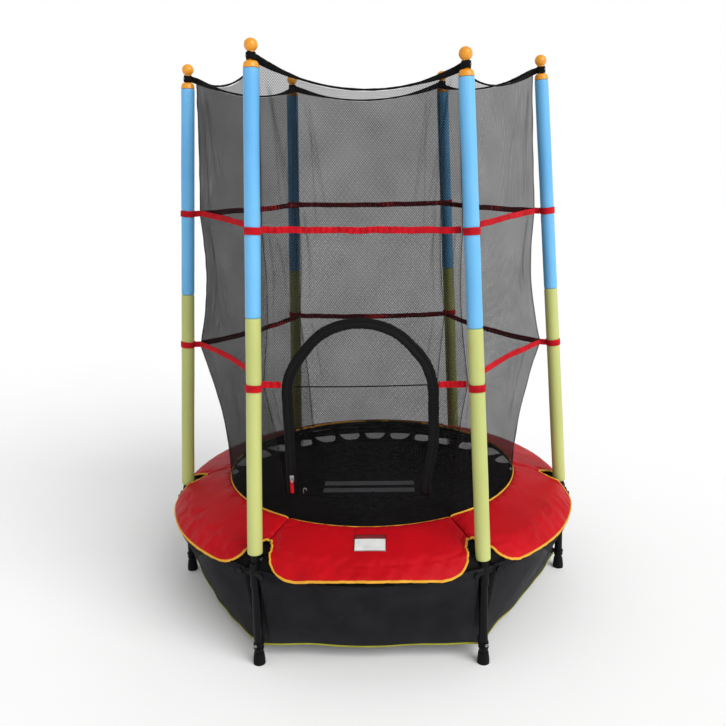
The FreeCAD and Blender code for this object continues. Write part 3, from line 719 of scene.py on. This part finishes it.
def crease_and_painted_shade(number, corner, z):
    """How strongly the net is gathered: thin lines that run from the corners of the straps, plus painted
    shade that makes the left sides denser and darker and painted light that makes the right sides more
    see-through.
    """
    total = PAINTED_SIDE_SHADE[number] + 0.12 * np.exp(-(corner / 0.005) ** 2) + 0.05 * ease((1.2 - z) / 0.8)
    draw = np.random.default_rng(number * 31 + 5)
    for top, slope, length in CREASES:
        start = 0.012 + draw.uniform(0, 0.04)
        drop = top - z
        line = start + slope * draw.uniform(0.6, 1.3) * np.clip(drop, 0, None)
        fade = ease(drop / 0.03) * (1 - ease((drop - length * draw.uniform(0.6, 1.0)) / 0.10))
        total = total + 0.13 * fade * np.exp(-((corner - line) / 0.0024) ** 2)
    return total


def net_surface(number, t, z):
    """World points of the soft net with its folds, and the crease value at each, painted side shade and light
    included.
    """
    out, side = net_point(number, t, z)
    half = net_half(number, z)
    corner = (1 - np.abs(t)) * half
    crease = crease_and_painted_shade(number, corner * np.where(t > 0, 1.0, 1.04), z)
    calm = 1.0 if number != 1 else ease((z - 0.99) / 0.10)
    edge = 1 - np.abs(t) ** 8
    ripple = 0.0026 * wave_noise(number, t * 5, z * 6) + 0.0012 * wave_noise(number + 20, t * 16, z * 9)
    pleat = 0.0035 * np.exp(-corner / 0.05) * np.sin(corner * 190 + 3 * np.sin(z * 5 + number))
    out = out + ((ripple + pleat) * edge + 0.0022 * crease) * calm
    return side_world(number, out, side, z), crease


def leg_lean(z):
    """How far the right leg of the doorway leans inward near the sill."""
    return 0.024 * ease((0.64 - z) / 0.17)


def inside_doorway(side, z, half):
    shift = side - DOOR_CENTRE
    shift = np.where(shift > 0, shift + leg_lean(z), shift)
    arch = shift ** 2 + (z - DOOR_SPRING) ** 2 < half ** 2
    legs = (np.abs(shift) < half) & (z < DOOR_SPRING) & (z > DOOR_SILL)
    return arch | legs


def set_crease(piece, values):
    attribute = piece.data.attributes.new("crease", "FLOAT", "POINT")
    attribute.data.foreach_set("value", np.asarray(values, np.float32).ravel())


def make_nets():
    rows = 141
    across = np.sin(np.linspace(-1, 1, 121) * math.pi / 2)
    for number in SIDES:
        t = np.repeat(across[None, :], rows, axis=0)
        low = NET_FOOT - 0.004
        top = hem_height(number, net_point(number, across, 1.6)[1]) - 0.004
        z = low + (top[None, :] - low) * np.linspace(0, 1, rows)[:, None]
        points, crease = net_surface(number, t, z)
        side = net_point(number, t, z)[1]
        shape = Shape()
        shape.grid(points, np.stack([side + number * 0.6, z], axis=-1))
        if number == 1:
            gap = inside_doorway(side, z, DOOR_GAP_HALF).ravel()
            keep = [not all(gap[i] for i in face) for face in shape.faces]
            shape.cloth = [c for i, k in enumerate(keep) if k for c in shape.cloth[4 * i:4 * i + 4]]
            shape.faces = [f for f, k in zip(shape.faces, keep) if k]
            shape.kinds = [0] * len(shape.faces)
        net = shape.make("net_cloth_%d" % number, [NET])
        # The crease value holds the gathers and the painted side shade and light.
        set_crease(net, crease)
        if number == 1:
            drop_loose(net)
        settle(net, "net_side_%d" % number)


def drop_loose(piece):
    """Remove the vertices that no face uses."""
    work = bmesh.new()
    work.from_mesh(piece.data)
    bmesh.ops.delete(work, geom=[v for v in work.verts if not v.link_faces], context="VERTS")
    work.to_mesh(piece.data)
    work.free()


def door_plane(side, z):
    """Outward place of the front net at a sideways place and height."""
    return net_point(1, np.clip(side / net_half(1, z), -1, 1), z)[0]


def make_door():
    """Door flap: a net sheet in the outline of the doorway, hung inside its zip."""
    half, sill = 0.1863, 0.4562
    heights = np.concatenate([np.linspace(sill, DOOR_SPRING, 46)[:-1],
                              DOOR_SPRING + half * np.sin(np.linspace(0, math.pi / 2 * 0.985, 34))])
    rise = np.clip(heights - DOOR_SPRING, 0, half)
    reach = np.sqrt(half ** 2 - rise ** 2)
    across = np.linspace(-1, 1, 51)
    z = np.repeat(heights[:, None], len(across), axis=1)
    side = DOOR_CENTRE + reach[:, None] * across - leg_lean(z) * np.clip(across, 0, 1)
    edge = (1 - across ** 4) * ease((z - sill) / 0.05)
    out = door_plane(side, z) + 0.0012 * wave_noise(3, side * 16, z * 12) * edge
    shape, seam = Shape(), Shape()
    shape.grid(side_world(1, out, side, z), np.stack([side, z], axis=-1))
    door = shape.make("door_cloth", [DOOR_NET])
    ys = DOOR_CENTRE + np.clip(np.linspace(0.001 - half, half - 0.001, 40), -0.182, 0.182)
    zs = LOW_STRAP - 0.004 - 0.003 * np.cos((ys - DOOR_CENTRE) / half * 1.4)
    path = side_world(1, door_plane(ys, zs) + 0.0006, ys, zs)
    sweep(seam, path, side_normal(1), ribbon_profile(0.0034, 0.0014, 5))
    line = seam.make("door_cross_seam", [BLACK_TAPE])
    settle(door, "door_panel", "door")
    settle(line, body="door")


def arch_path(half, count_leg=44, count_arch=90):
    """Sideways places and heights of the doorway's outline, left leg first."""
    up = np.linspace(DOOR_SILL + 0.001, DOOR_SPRING, count_leg)[:-1]
    down = np.linspace(DOOR_SPRING, DOOR_SILL + 0.001, count_leg)[1:]
    turn = np.linspace(math.pi, 0, count_arch)
    slack = 1 - 0.032 * np.exp(-((turn - 2.45) / 0.26) ** 2) - 0.018 * np.exp(-((turn - 0.75) / 0.2) ** 2)
    side = np.concatenate([np.full(len(up), -half), half * slack * np.cos(turn), np.full(len(down), half)])
    z = np.concatenate([up, DOOR_SPRING + half * slack * np.sin(turn), down])
    return side + DOOR_CENTRE - leg_lean(z) * (side > 0), z


def make_binding():
    """Black zip binding round the doorway: a gathered tape with a coil of teeth on it."""
    side, z = arch_path(DOOR_HALF)
    path = side_world(1, door_plane(side, z), side, z)
    along = lengths_along(path)
    loose = 1 - np.exp(-((along - 0.10) / 0.20) ** 2)
    ruche = wave_noise(41, along * 95) * 0.5 + wave_noise(42, along * 210) * 0.35
    pucker = np.sin(along * 2 * math.pi / 0.0145 + 2.5 * wave_noise(43, along * 30)) * loose
    width = 1.0 + 0.06 * ruche + 0.045 * pucker
    fat = 1.0 + 0.28 * ruche * loose + 0.26 * pucker
    groove = [(x, max(y, -0.0021) if y < 0 else y - 0.0016 * math.exp(-(x / 0.0045) ** 2))
              for x, y in ribbon_profile(0.0300, 0.0068, 22)]
    shape, coil = Shape(), Shape()
    sweep(shape, path, side_normal(1), groove, scale=(width, fat))
    side, z = arch_path(DOOR_HALF, 120, 260)
    fine = side_world(1, door_plane(side, z) + 0.0022, side, z)
    teeth = 1.0 + 0.25 * np.sign(np.sin(lengths_along(fine) * 2 * math.pi / 0.0052))
    sweep(coil, fine, side_normal(1), oval(0.0042, 0.0010, 8), scale=(teeth, 1.0))
    settle(shape.make("zip_binding", [ZIP_TAPE]), "door_zip_tape")
    settle(coil.make("zip_coil", [BOLT_BLACK]))


def neck_point(number):
    """Where the hem leaves the loop round the neck of a cap."""
    return turned(pole_matrix(number), -0.0115, 0, SLEEVES[number][2] + 0.0285)


def make_hook():
    """Small steel hook sewn beside the lower end of the zip, to hold the closed door."""
    shape = Shape()
    place, back, count = np.array([-0.179, -0.449, 0.477]), -0.0030, 16
    turn = np.linspace(math.pi, -0.5, count)
    bend = np.stack([0.0042 * np.cos(turn), np.full(count, back), 0.0048 * np.sin(turn)], axis=-1)
    path = np.vstack([[[-0.0042, 0.0015, -0.0120]], [[-0.0042, back, -0.0090]], bend]) + place
    sweep(shape, path, (0.0, -1.0, 0.02), oval(0.0019, 0.0019, 8))
    settle(shape.make("door_hook", [ZIP_METAL]))


def hem_line(number):
    """Path of the top hem of one side, from the loop on one pole to the loop on the next."""
    _, side = net_point(number, np.linspace(-0.985, 0.985, 81), 1.6)
    z = hem_height(number, side)
    out, _ = net_point(number, np.clip(side / net_half(number, z), -1, 1), z)
    line = side_world(number, out, side, z)
    path = np.vstack([straight(neck_point(number), line[0], 8)[:-1], line,
                      straight(line[-1], neck_point(number % 6 + 1), 8)[1:]])
    for _ in range(3):
        path[1:-1] = (path[:-2] + 2 * path[1:-1] + path[2:]) / 4
    return path


def make_hem():
    """Drawn hem of the net: broad at the poles, rolled narrow between, looped round each neck."""
    shape, rivets = Shape(), Shape()
    radius, turn = 0.0117, full_turn(40)
    for number in SIDES:
        path = hem_line(number)
        along = lengths_along(path)
        share = np.abs(2 * along / along[-1] - 1)
        tall = 0.0062 + 0.0138 * ease((share - 0.45) / 0.5) + 0.0008 * wave_noise(60 + number, along * 120)
        thick = 0.0050 - 0.0016 * share + 0.0006 * wave_noise(70 + number, along * 160)
        sweep(shape, path, side_normal(number), oval(1.0, 1.0, 14), scale=(tall, thick))
        matrix, middle = pole_matrix(number), SLEEVES[number][2] + 0.0295
        band_round(shape, matrix, radius, middle, 0.0008 * np.sin(3 * turn + number),
                   ribbon_profile(0.0200, 0.0030), 1 + 0.06 * np.sin(turn * 5 + number))
        tilt = matrix @ Matrix.Rotation(math.radians(-35 if number % 2 else 35), 4, "Z")
        face = tilt @ Matrix.Translation((radius + 0.0014, 0, middle)) @ Matrix.Rotation(math.pi / 2, 4, "Y")
        lathe(rivets, face, [(0.0016, 0.0), (0.0036, 0.0001), (0.0036, 0.0009), (0.0027, 0.0014),
                             (0.0017, 0.0010), (0.0016, 0.0)], 20)
    settle(shape.make("top_hem_webbing", [BLACK_TAPE]), "top_hem")
    settle(rivets.make("hem_eyelets", [ZIP_METAL]))


def strap_run(shape, number, level, low_t, high_t, seed):
    """One length of strap on the outside of a side's net, gathered along its stitching."""
    count = max(12, int(260 * (high_t - low_t) / 2))
    t = np.linspace(low_t, high_t, count)
    out, side = net_point(number, t, level)
    height = strap_height(level, number, t) + 0.0010 * wave_noise(seed, side * 30) - 0.002 * (1 - t * t)
    path = side_world(number, out + 0.0016 + STRAP_THICKNESS / 2, side, height)
    along = lengths_along(path)
    gather = np.clip(wave_noise(seed + 1, along * 12) + 0.25, 0, 1)
    pucker = np.sin(along * 2 * math.pi / 0.017 + 2 * wave_noise(seed + 2, along * 40))
    path = path + side_normal(number) * (0.0017 * (0.25 + gather) * pucker)[:, None]
    wide = 1.0 + 0.05 * wave_noise(seed + 3, along * 150) - 0.05 * gather * pucker
    sweep(shape, path, side_normal(number), ribbon_profile(STRAP_WIDTH - 0.002, STRAP_THICKNESS, 9),
          scale=(wide, 1.0))


def make_straps():
    """Two hexagons of red strap on the net, each tied round the six sleeves."""
    shape = Shape()
    end_t, door_edge, turn = 0.985, 0.2145, full_turn(56)
    spots = [(level, number) for level in (LOW_STRAP, HIGH_STRAP) for number in SIDES]
    for seed, (level, number) in enumerate(spots, start=11):
        seed *= 10
        if number == 1 and level == LOW_STRAP:
            half = net_half(1, level)
            strap_run(shape, 1, level, -end_t, (DOOR_CENTRE - door_edge) / half, seed)
            strap_run(shape, 1, level, (DOOR_CENTRE + door_edge) / half, end_t, seed + 5)
        else:
            strap_run(shape, number, level, -end_t, end_t, seed)
        matrix, middle = pole_matrix(number), loop_height(level, number)
        band_round(shape, matrix, 0.0222, middle, 0.0006 * np.sin(2 * turn + number),
                   ribbon_profile(STRAP_WIDTH, STRAP_THICKNESS),
                   1 + 0.03 * wave_noise(seed + 7, np.cos(turn) * 6, np.sin(turn) * 6))
        out, side = net_point(number, -end_t, level)
        corner = side_world(number, out + 0.003, side, strap_level(level, number)).reshape(3)
        sweep(shape, straight(turned(matrix, -0.0232, 0, middle), corner, 10), facing(pole_angle(number))[1],
              ribbon_profile(STRAP_WIDTH - 0.001, 0.0036, 7))
    settle(shape.make("red_straps", [RED_STRAP]), "net_straps")


def make_corner_seams():
    """Overlocked seam down each corner of the net, where two sides are sewn together."""
    shape = Shape()
    for number in SIDES:
        z = np.linspace(NET_FOOT, neck_height(number) - 0.006, 140)
        out, side = net_point(number, -1.0, z)
        radial = facing(pole_angle(number))[0]
        path = side_world(number, out, side, z) + 0.0008 * wave_noise(90 + number, z * 60)[:, None] * radial
        sweep(shape, path, radial, oval(0.0013, 0.0018, 8))
    settle(shape.make("net_corner_seams", [BLACK_TAPE]))


# ---------------------------------------------------------------- mat, elastics

def make_mat():
    """Round bed with a bound and twice stitched edge."""
    count, hem_radius = 144, MAT_RADIUS - 0.012
    turn = full_turn(count)
    radii = np.concatenate([[0.004], np.linspace(0.03, MAT_RADIUS - 0.008, 34),
                            [MAT_RADIUS - 0.003, MAT_RADIUS]])
    thick = np.full(len(radii), 0.0011)
    thick[-1] = 0.0004
    sides = []
    for face in (1.0, -1.0):
        heights = MAT_HEIGHT + face * thick - 0.004 * np.cos(radii / MAT_RADIUS * math.pi / 2)
        flat = polar(radii[:, None], turn, heights[:, None])
        flat[..., 2] += 0.0007 * wave_noise(5, flat[..., 0] * 8, flat[..., 1] * 8)
        sides.append(flat)
    both = np.concatenate([sides[0], sides[1][::-1]])
    shape, trim = Shape(), Shape()
    start = shape.grid(both, np.concatenate([both[..., :2], both[:, :1, :2]], axis=1), wrap=True)
    last = start + (len(both) - 1) * count
    shape.face(range(start, start + count))
    shape.face(range(last + count - 1, last - 1, -1))
    bed = shape.make("mat_bed", [MAT])
    sweep(trim, polar(hem_radius, turn, MAT_HEIGHT + 0.0006), UP, ribbon_profile(0.027, 0.0034, 9),
          closed=True)
    for offset in (-0.008, 0.008):
        for a in full_turn(480):
            radial, along = facing(a)
            add_stitch(trim, radial * (hem_radius + offset) + UP * (MAT_HEIGHT + 0.0025), along * 0.0018,
                       oval(0.0008, 0.0006, 4), 1)
    edge = trim.make("mat_edge_webbing", [ELASTIC, BOLT_BLACK])
    settle(bed, "jumping_mat", "mat")
    settle(edge, body="mat")


def make_elastics():
    """Flat elastics that flare into the mat's edge and wrap round the ring tube."""
    step = 360 / ELASTIC_COUNT
    start, end = MAT_RADIUS - 0.006, 0.6105
    share = np.linspace(0, 1, 26) ** 1.8
    radius = start + (end - start) * share
    open_share = np.clip((radius - MAT_RADIUS) / (end - MAT_RADIUS), 0, 1)
    width = radius * math.radians(step) - 0.0006 - 0.0811 * np.sqrt(1 - (1 - open_share) ** 2)
    for index in range(ELASTIC_COUNT):
        radial, sideways = facing(math.radians(step / 2 + step * index))
        height = (MAT_HEIGHT - 0.0014 + 0.0004 * wave_noise(200 + index, share * 7)
                  + 0.0035 * ease((share - 0.9) / 0.1))
        beside_socket = index % 6 in (0, 5)
        wrap = 0.0167 if beside_socket else 0.0141
        bend = np.radians(np.linspace(150, -150, 17))
        out = np.concatenate([radius[:-1], RING_RADIUS + wrap * np.cos(bend)])
        rise = np.concatenate([height[:-1], RING_HEIGHT + wrap * np.sin(bend)])
        line = out[:, None] * radial + rise[:, None] * UP
        widths = np.concatenate([width[:-1], np.full(len(bend), 0.0255)])
        shape = Shape()
        sweep(shape, line, np.cross(sideways, unit(np.gradient(line, axis=0))), ribbon_profile(1.0, 1.0, 7),
              scale=(widths, 0.0017))
        band = shape.make("elastic_%d" % (index + 1), [ELASTIC])
        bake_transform(band)
        if index == 0:
            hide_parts("mat_elastics")


# ---------------------------------------------------------------- pad

# Outline of a panel's outer edge: how far it reaches at each angle in degrees from its end.
PHI = np.array([0.12, 0.7, 1.5, 2.3, 2.9, 3.25, 3.7, 4.6, 5.6, 6.6, 7.7, 10.0, 12.3, 30.1])
REACH = np.array([0.562, 0.562, 0.571, 0.581, 0.589, 0.600, 0.614, 0.628, 0.637, 0.644, 0.649, 0.654, 0.6545,
                  PAD_EDGE])


def pad_top(radius):
    return np.interp(radius, [PAD_INNER, PAD_FOLD, PAD_EDGE], [0.374, 0.328, 0.287])


def pad_columns():
    """Angles across a panel in degrees from its middle, closer together near its ends."""
    near = [0.10, 0.4, 0.8, 1.2, 1.6, 2.0, 2.4, 2.75, 3.0, 3.2, 3.35, 3.5, 3.7, 3.95, 4.25, 4.6, 5.0, 5.5,
            6.0, 6.6, 7.2, 7.9, 8.6, 9.4]
    left = np.concatenate([near, np.linspace(10.2, 29.9, 27)]) - 30
    return np.concatenate([left, -left[::-1]])


def make_pad(number):
    """One panel of the pad as a closed cushion, how far its vertices are held, and its border rows."""
    columns = pad_columns()
    phi = 30 - np.abs(columns)
    reach = np.interp(phi, PHI, REACH)
    fold = np.minimum(PAD_FOLD, PAD_INNER + 0.80 * (reach - PAD_INNER))
    rows_in, rows_out = 22, 8
    radius = np.concatenate([PAD_INNER + (fold - PAD_INNER) * np.linspace(0, 1, rows_in)[:, None],
                             fold + (reach - fold) * np.linspace(0, 1, rows_out + 1)[1:, None]])
    rows, width = radius.shape
    flap = np.clip((radius - fold) / (reach - fold), 0, 1)
    lift = 0.019 * np.clip(1 - (columns / 17.5) ** 2, 0, 1) * flap if number == 1 else 0.0
    cone = pad_top(radius) + lift
    top = (cone - 0.0035 * np.exp(-(np.radians(phi) * radius / 0.006) ** 2)
           - 0.0012 * np.exp(-((radius - fold) / 0.004) ** 2))
    inside = ease((PAD_FOLD - 0.004 - radius) / 0.016) * ease((reach - radius - 0.004) / 0.020)
    foam = 0.0045 + 0.0155 * inside
    angle = side_angle(number) + np.radians(columns)
    cloth = np.stack([np.radians(columns) * radius, radius + number], axis=-1)
    shape = Shape()
    shape.grid(polar(radius, angle, top), cloth, 0, flip=True)
    shape.grid(polar(radius, angle, cone - foam), cloth, 1)
    upper = np.arange(rows * width).reshape(rows, width)
    lower = upper + rows * width
    last, end = rows - 1, width - 1
    for j in range(end):
        shape.face((upper[0, j], upper[0, j + 1], lower[0, j + 1], lower[0, j]), 1)
        shape.face((upper[last, j + 1], upper[last, j], lower[last, j], lower[last, j + 1]), 0)
    for i in range(last):
        shape.face((upper[i, 0], lower[i, 0], lower[i + 1, 0], upper[i + 1, 0]), 1)
        shape.face((upper[i + 1, end], lower[i + 1, end], lower[i, end], upper[i, end]), 1)
    pad = shape.make("pad_cover_%d" % number, [PAD_RED, PAD_BLACK])
    held = np.zeros((2, rows, width))
    held[1] = held[0, 0] = held[0, -1] = 1.0
    held[0, :, 0] = held[0, :, -1] = 1.0
    held[0, rows_in - 1] = 0.9
    return pad, held.ravel(), {"outer": upper[-1], "beside": upper[-2], "inner": upper[0],
                               "fold": upper[rows_in - 1]}


def coordinates(mesh):
    values = np.zeros(len(mesh.vertices) * 3, np.float32)
    mesh.vertices.foreach_get("co", values)
    return values.reshape(-1, 3).astype(float)


CLOTH_SETTINGS = {
    "quality": 6, "mass": 0.15, "tension_stiffness": 22, "compression_stiffness": 22, "shear_stiffness": 12,
    "bending_stiffness": 0.35, "use_pressure": True, "uniform_pressure_force": 4.0,
}
CLOTH_FRAMES = 20


def set_coordinates(mesh, values):
    mesh.vertices.foreach_set("co", values.astype(np.float32).ravel())
    mesh.update()


def add_cloth(index, pad, held):
    """Give a pad its cloth modifier, with the sewn vertices held."""
    group = pad.vertex_groups.new(name="held")
    for vertex, weight in enumerate(held):
        if weight > 0:
            group.add([vertex], float(weight), "REPLACE")
    cloth = pad.modifiers.new("Cloth", "CLOTH")
    for name, value in CLOTH_SETTINGS.items():
        setattr(cloth.settings, name, value)
    cloth.settings.vertex_group_mass = "held"
    cloth.settings.shrink_min = -0.022 - 0.004 * (index % 3)
    cloth.settings.effector_weights.gravity = 0
    cloth.collision_settings.use_collision = False
    cloth.collision_settings.use_self_collision = False
    cloth.point_cache.frame_start, cloth.point_cache.frame_end = 1, CLOTH_FRAMES


def puff(pads, caps):
    """Blow the padded covers up against their stitching with a short cloth simulation.

    No vertex moves further than its pad's cap, or sinks below its start by more than the dent.
    """
    dent = 0.0008
    rests = [coordinates(pad.data) for pad, _ in pads]
    for index, ((pad, held), rest) in enumerate(zip(pads, rests)):
        start = rest.copy()
        loose = held < 0.5
        start[loose, 2] += 0.0006 * wave_noise(300 + index, start[loose, 0] * 60, start[loose, 1] * 60)
        pad.data.vertices.foreach_set("co", start.astype(np.float32).ravel())
        add_cloth(index, pad, held)
    scene.frame_start, scene.frame_end = 1, CLOTH_FRAMES
    for step in range(1, CLOTH_FRAMES + 1):
        scene.frame_set(step)
    graph = bpy.context.evaluated_depsgraph_get()
    results = [coordinates(pad.evaluated_get(graph).data) for pad, _ in pads]
    for (pad, held), rest, result, cap in zip(pads, rests, results, caps):
        set_coordinates(pad.data, rest)
        shift = result - rest
        far = np.linalg.norm(shift, axis=1)
        print(pad.name, "moved up to", round(float(far.max()), 4))
        shift = shift * (np.minimum(far, cap) / np.maximum(far, 1e-9))[:, None]
        normals = np.array([v.normal for v in pad.data.vertices])
        sunk = np.minimum(np.sum(shift * normals, axis=1) + dent, 0) * (held < 1)
        pad.modifiers.clear()
        pad.vertex_groups.clear()
        set_coordinates(pad.data, rest + shift - normals * sunk[:, None])
    scene.frame_set(1)


def make_piping(number, pad, border):
    """Bias tape folded over the outer and inner edges of one panel."""
    place = coordinates(pad.data)
    shape = Shape()
    outer, inner = place[border["outer"]], place[border["inner"]]
    outward = unit(outer - place[border["beside"]])
    normals = unit(np.cross(unit(np.gradient(outer, axis=0)), outward))
    normals = normals * np.sign(normals[:, 2:3] + 1e-9)
    path = outer + outward * 0.0006 - normals * 0.0022
    apart = np.concatenate([[True], np.linalg.norm(np.diff(path, axis=0), axis=1) > 0.0008])
    path = path[apart]
    bulge = 1 + 0.07 * wave_noise(500 + number, lengths_along(path) * 130)
    sweep(shape, path, normals[apart], oval(0.0074, 0.0072), scale=(bulge, bulge))
    radial = unit(inner * (1, 1, 0))
    drop = 0.0050 if number == 1 else 0.0008
    sweep(shape, inner - radial * 0.0008 - UP * drop, -radial, oval(0.0070, 0.0040, 10))
    settle(shape.make("pad_piping_%d" % number, [PIPING]))


def make_seam_threads(number, pad, border):
    """Raised stitches along the sewn fold line of one panel."""
    line = coordinates(pad.data)[border["fold"]]
    along = lengths_along(line)
    spots = np.arange(0.006, along[-1] - 0.006, 0.0046)
    fine = np.stack([np.interp(spots, along, line[:, axis]) for axis in range(3)], axis=-1)
    shape = Shape()
    for spot, ahead in zip(fine + UP * 0.0004, unit(np.gradient(fine, axis=0)) * 0.0015):
        add_stitch(shape, spot, ahead, oval(0.0008, 0.0007, 4))
    settle(shape.make("pad_stitching_%d" % number, [RED_STRAP]))


def make_patch(pad):
    """Plain sewn patch on the front panel: a white field under a maroon band, no print."""
    tree = BVHTree.FromPolygons([v.co for v in pad.data.vertices], [p.vertices for p in pad.data.polygons])
    middle, near, width, depth, columns, rows, band_row = 0.005, -0.570, 0.086, 0.058, 25, 17, 12
    grid = np.zeros((rows, columns, 3))
    for i, y in enumerate(near + depth * np.linspace(0, 1, rows)):
        for j, x in enumerate(middle + width * np.linspace(-0.5, 0.5, columns)):
            hit = tree.ray_cast(Vector((x, y, 0.6)), -Vector(UP))[0]
            grid[i, j] = (x, y, hit.z + 0.0011)
    shape = Shape()
    shape.grid(grid[:band_row + 1], grid[:band_row + 1, :, :2], 0)
    shape.grid(grid[band_row:], grid[band_row:, :, :2], 1)
    rim = [grid[0], grid[:, -1], grid[-1][::-1], grid[::-1, 0]]
    for edge in rim:
        shape.grid(np.stack([edge - UP * 0.0009, edge]), np.zeros((2, len(edge), 2)))
    loop = np.vstack([edge[:-1] for edge in rim])
    sweep(shape, loop + UP * 0.0002, UP, oval(0.0016, 0.0010, 6), 2, closed=True)
    settle(shape.make("plain_patch", [PATCH, PATCH_BAND, BLACK_TAPE]))


def make_pads():
    made = [make_pad(number) for number in SIDES]
    pads = [(pad, held) for pad, held, _ in made]
    puff(pads, (0.005, 0.004, 0.002, 0.0015, 0.002, 0.004))
    for number, (pad, _, border) in zip(SIDES, made):
        make_piping(number, pad, border)
        make_seam_threads(number, pad, border)
        if number == 1:
            make_patch(pad)
        smooth = pad.modifiers.new("smooth", "SUBSURF")
        smooth.levels = smooth.render_levels = 1
        settle(pad, "pad_panel_%d" % number)


def make_gussets():
    """Black cloth sewn under the pad round each pole, which closes the notch from below."""
    shape = Shape()
    for number in SIDES:
        r, across = np.meshgrid(np.linspace(0.552, 0.606, 8), np.linspace(-0.038, 0.038, 13), indexing="ij")
        patches = [(r, across / r)]
        wing = np.radians(np.linspace(1.7, 7.2, 14))
        for turns in (-wing, wing):
            patches.append(np.meshgrid(np.linspace(0.600, 0.6475, 10), turns, indexing="ij"))
        for r, turn in patches:
            uneven = wave_noise(620 + number, r * 90, turn * 50)
            height = np.maximum(pad_top(r) - 0.010, 0.2966) + 0.0006 * uneven
            cloth = np.stack([r * turn, r + number], axis=-1)
            for drop, flip in ((0.0, False), (0.0012, True)):
                shape.grid(polar(r, pole_angle(number) + turn, height - drop), cloth, flip=flip)
    gussets = shape.make("pole_gussets", [PAD_BLACK])
    settle(gussets)


# ---------------------------------------------------------------- skirt

SKIRT_FOOT_OUT, SKIRT_HEM = 0.530, 0.048


def skirt_grid(number):
    """Cloth of one side: sewn under the pad outside the ring, drawn in behind the legs."""
    phi = np.concatenate([np.linspace(0.02, 1.3, 5), np.linspace(1.5, 4.5, 19), np.linspace(5.2, 30, 22)])
    degrees = np.concatenate([phi - 30, (30 - phi[:-1])[::-1]])[None, :]
    near, t, angle = 30 - np.abs(degrees), degrees / 30, np.radians(degrees)
    behind = 1 - ease((near - 1.6) / 0.9)
    rim = 0.6478 - 0.0353 * behind
    lip = 0.2962 - 0.0105 * ease((near - 6.2) / 2.4) - 0.004 * behind
    shoulder = 0.262
    low_out = SKIRT_FOOT_OUT + 0.010 * (1 - t * t)
    low_side = SKIRT_FOOT_OUT * TAN_HALF * t
    calm = 1 - t ** 4
    hem = SKIRT_HEM + 0.003 * wave_noise(700 + number, t * 4) * calm
    if number in (5, 6):
        hem = hem + (0.006 * wave_noise(720 + number, t * 9) - 0.014) * calm
        low_out = low_out + 0.014 * (1 - t * t)
    top_out, top_side = rim * np.cos(angle), rim * np.sin(angle)
    collar, drop = np.linspace(0, 1, 5)[:, None], np.linspace(0, 1, 40)[1:, None]
    sway = np.sin(np.pi * drop * 0.9) * 0.004 * (1 - t ** 6)
    fold = 0.003 * wave_noise(740 + number, t * 7, drop * 3) * (1 - t ** 6) * drop
    crumple = 0.0022 * wave_noise(745 + number, t * 26 + drop * 6, drop * 9 - t * 8) * np.sin(np.pi * drop)
    out = np.vstack([np.repeat(top_out, len(collar), axis=0),
                     top_out * (1 - drop) + low_out * drop - sway - fold + crumple])
    side = np.vstack([np.repeat(top_side, len(collar), axis=0), top_side * (1 - drop) + low_side * drop])
    z = np.vstack([lip + (shoulder - lip) * collar, shoulder + (hem - shoulder) * drop])
    return side_world(number, out, side, z), np.stack([side + number, z], axis=-1)


def tie_skirt(ties, eyelets, number):
    """Two loops and a tab that tie the skirt's hem to one leg, and the eyelet on the leg."""
    angle = pole_angle(number)
    radial, sideways = facing(angle)
    leg = Matrix.Rotation(angle, 4, "Z") @ Matrix.Translation((RING_RADIUS, 0, 0))
    for height, tilt in ((0.060, 0.0020), (0.049, -0.0024)):
        band_round(ties, leg, 0.0139, height, tilt * np.sin(full_turn(32)), ribbon_profile(0.0075, 0.0016, 6))
    tab = straight(radial * 0.604 + UP * 0.062, radial * (RING_RADIUS - 0.0135) + UP * 0.059, 8)
    sweep(ties, tab, sideways, ribbon_profile(0.016, 0.0022, 6))
    face = leg @ Matrix.Translation((0.0152, 0, 0.058)) @ Matrix.Rotation(math.pi / 2, 4, "Y")
    lathe(eyelets, face, [(0.0020, -0.0008), (0.0042, -0.0006), (0.0044, 0.0004), (0.0034, 0.0010),
                          (0.0021, 0.0006), (0.0020, -0.0008)], 24)


def make_skirt():
    """Skirt of six sides with a bound hem; the three back sides are a little more sheer."""
    cloth, binding, ties, eyelets = Shape(), Shape(), Shape(), Shape()
    sheer = []
    for number in SIDES:
        points, uv = skirt_grid(number)
        cloth.grid(points, uv)
        sheer += [-0.15 if number in (3, 4, 5) else 0.0] * (points.shape[0] * points.shape[1])
        hem = points[-1]
        bulge = 1 + 0.08 * wave_noise(760 + number, lengths_along(hem) * 90)
        sweep(binding, hem, side_normal(number), oval(0.0064, 0.0034, 10), scale=(bulge, bulge))
        tie_skirt(ties, eyelets, number)
    skirt = cloth.make("skirt_cloth", [SKIRT_NET])
    set_crease(skirt, sheer)
    edge = binding.make("skirt_binding", [SKIRT_BINDING])
    settle(skirt, "ground_skirt")
    settle(edge)
    settle(ties.make("skirt_ties", [BLACK_TAPE]))
    settle(eyelets.make("skirt_eyelets", [ZIP_METAL]))


# ---------------------------------------------------------------- carried-over parts

def dress_frame():
    """Give every CAD node that stays in view its finish."""
    finishes = dict.fromkeys(("ring_tube", "corner_socket", "leg", "pole"), BLACK_STEEL)
    finishes.update(rubber_feet=FOOT_RUBBER, corner_bolts=BOLT_BLACK)
    finishes.update(zip_slider=ZIP_METAL, zip_pull=RED_STRAP)
    for name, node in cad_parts.items():
        if node.hide_render:
            continue
        stem = name.rstrip("0123456789").rstrip("_")
        node.data.materials.clear()
        node.data.materials.append(finishes[stem])


make_camera()
make_studio()
make_sleeves()
make_caps()
make_hem()
make_straps()
make_nets()
make_corner_seams()
make_door()
make_binding()
make_hook()
make_elastics()
make_mat()
make_pads()
make_gussets()
make_skirt()
dress_frame()
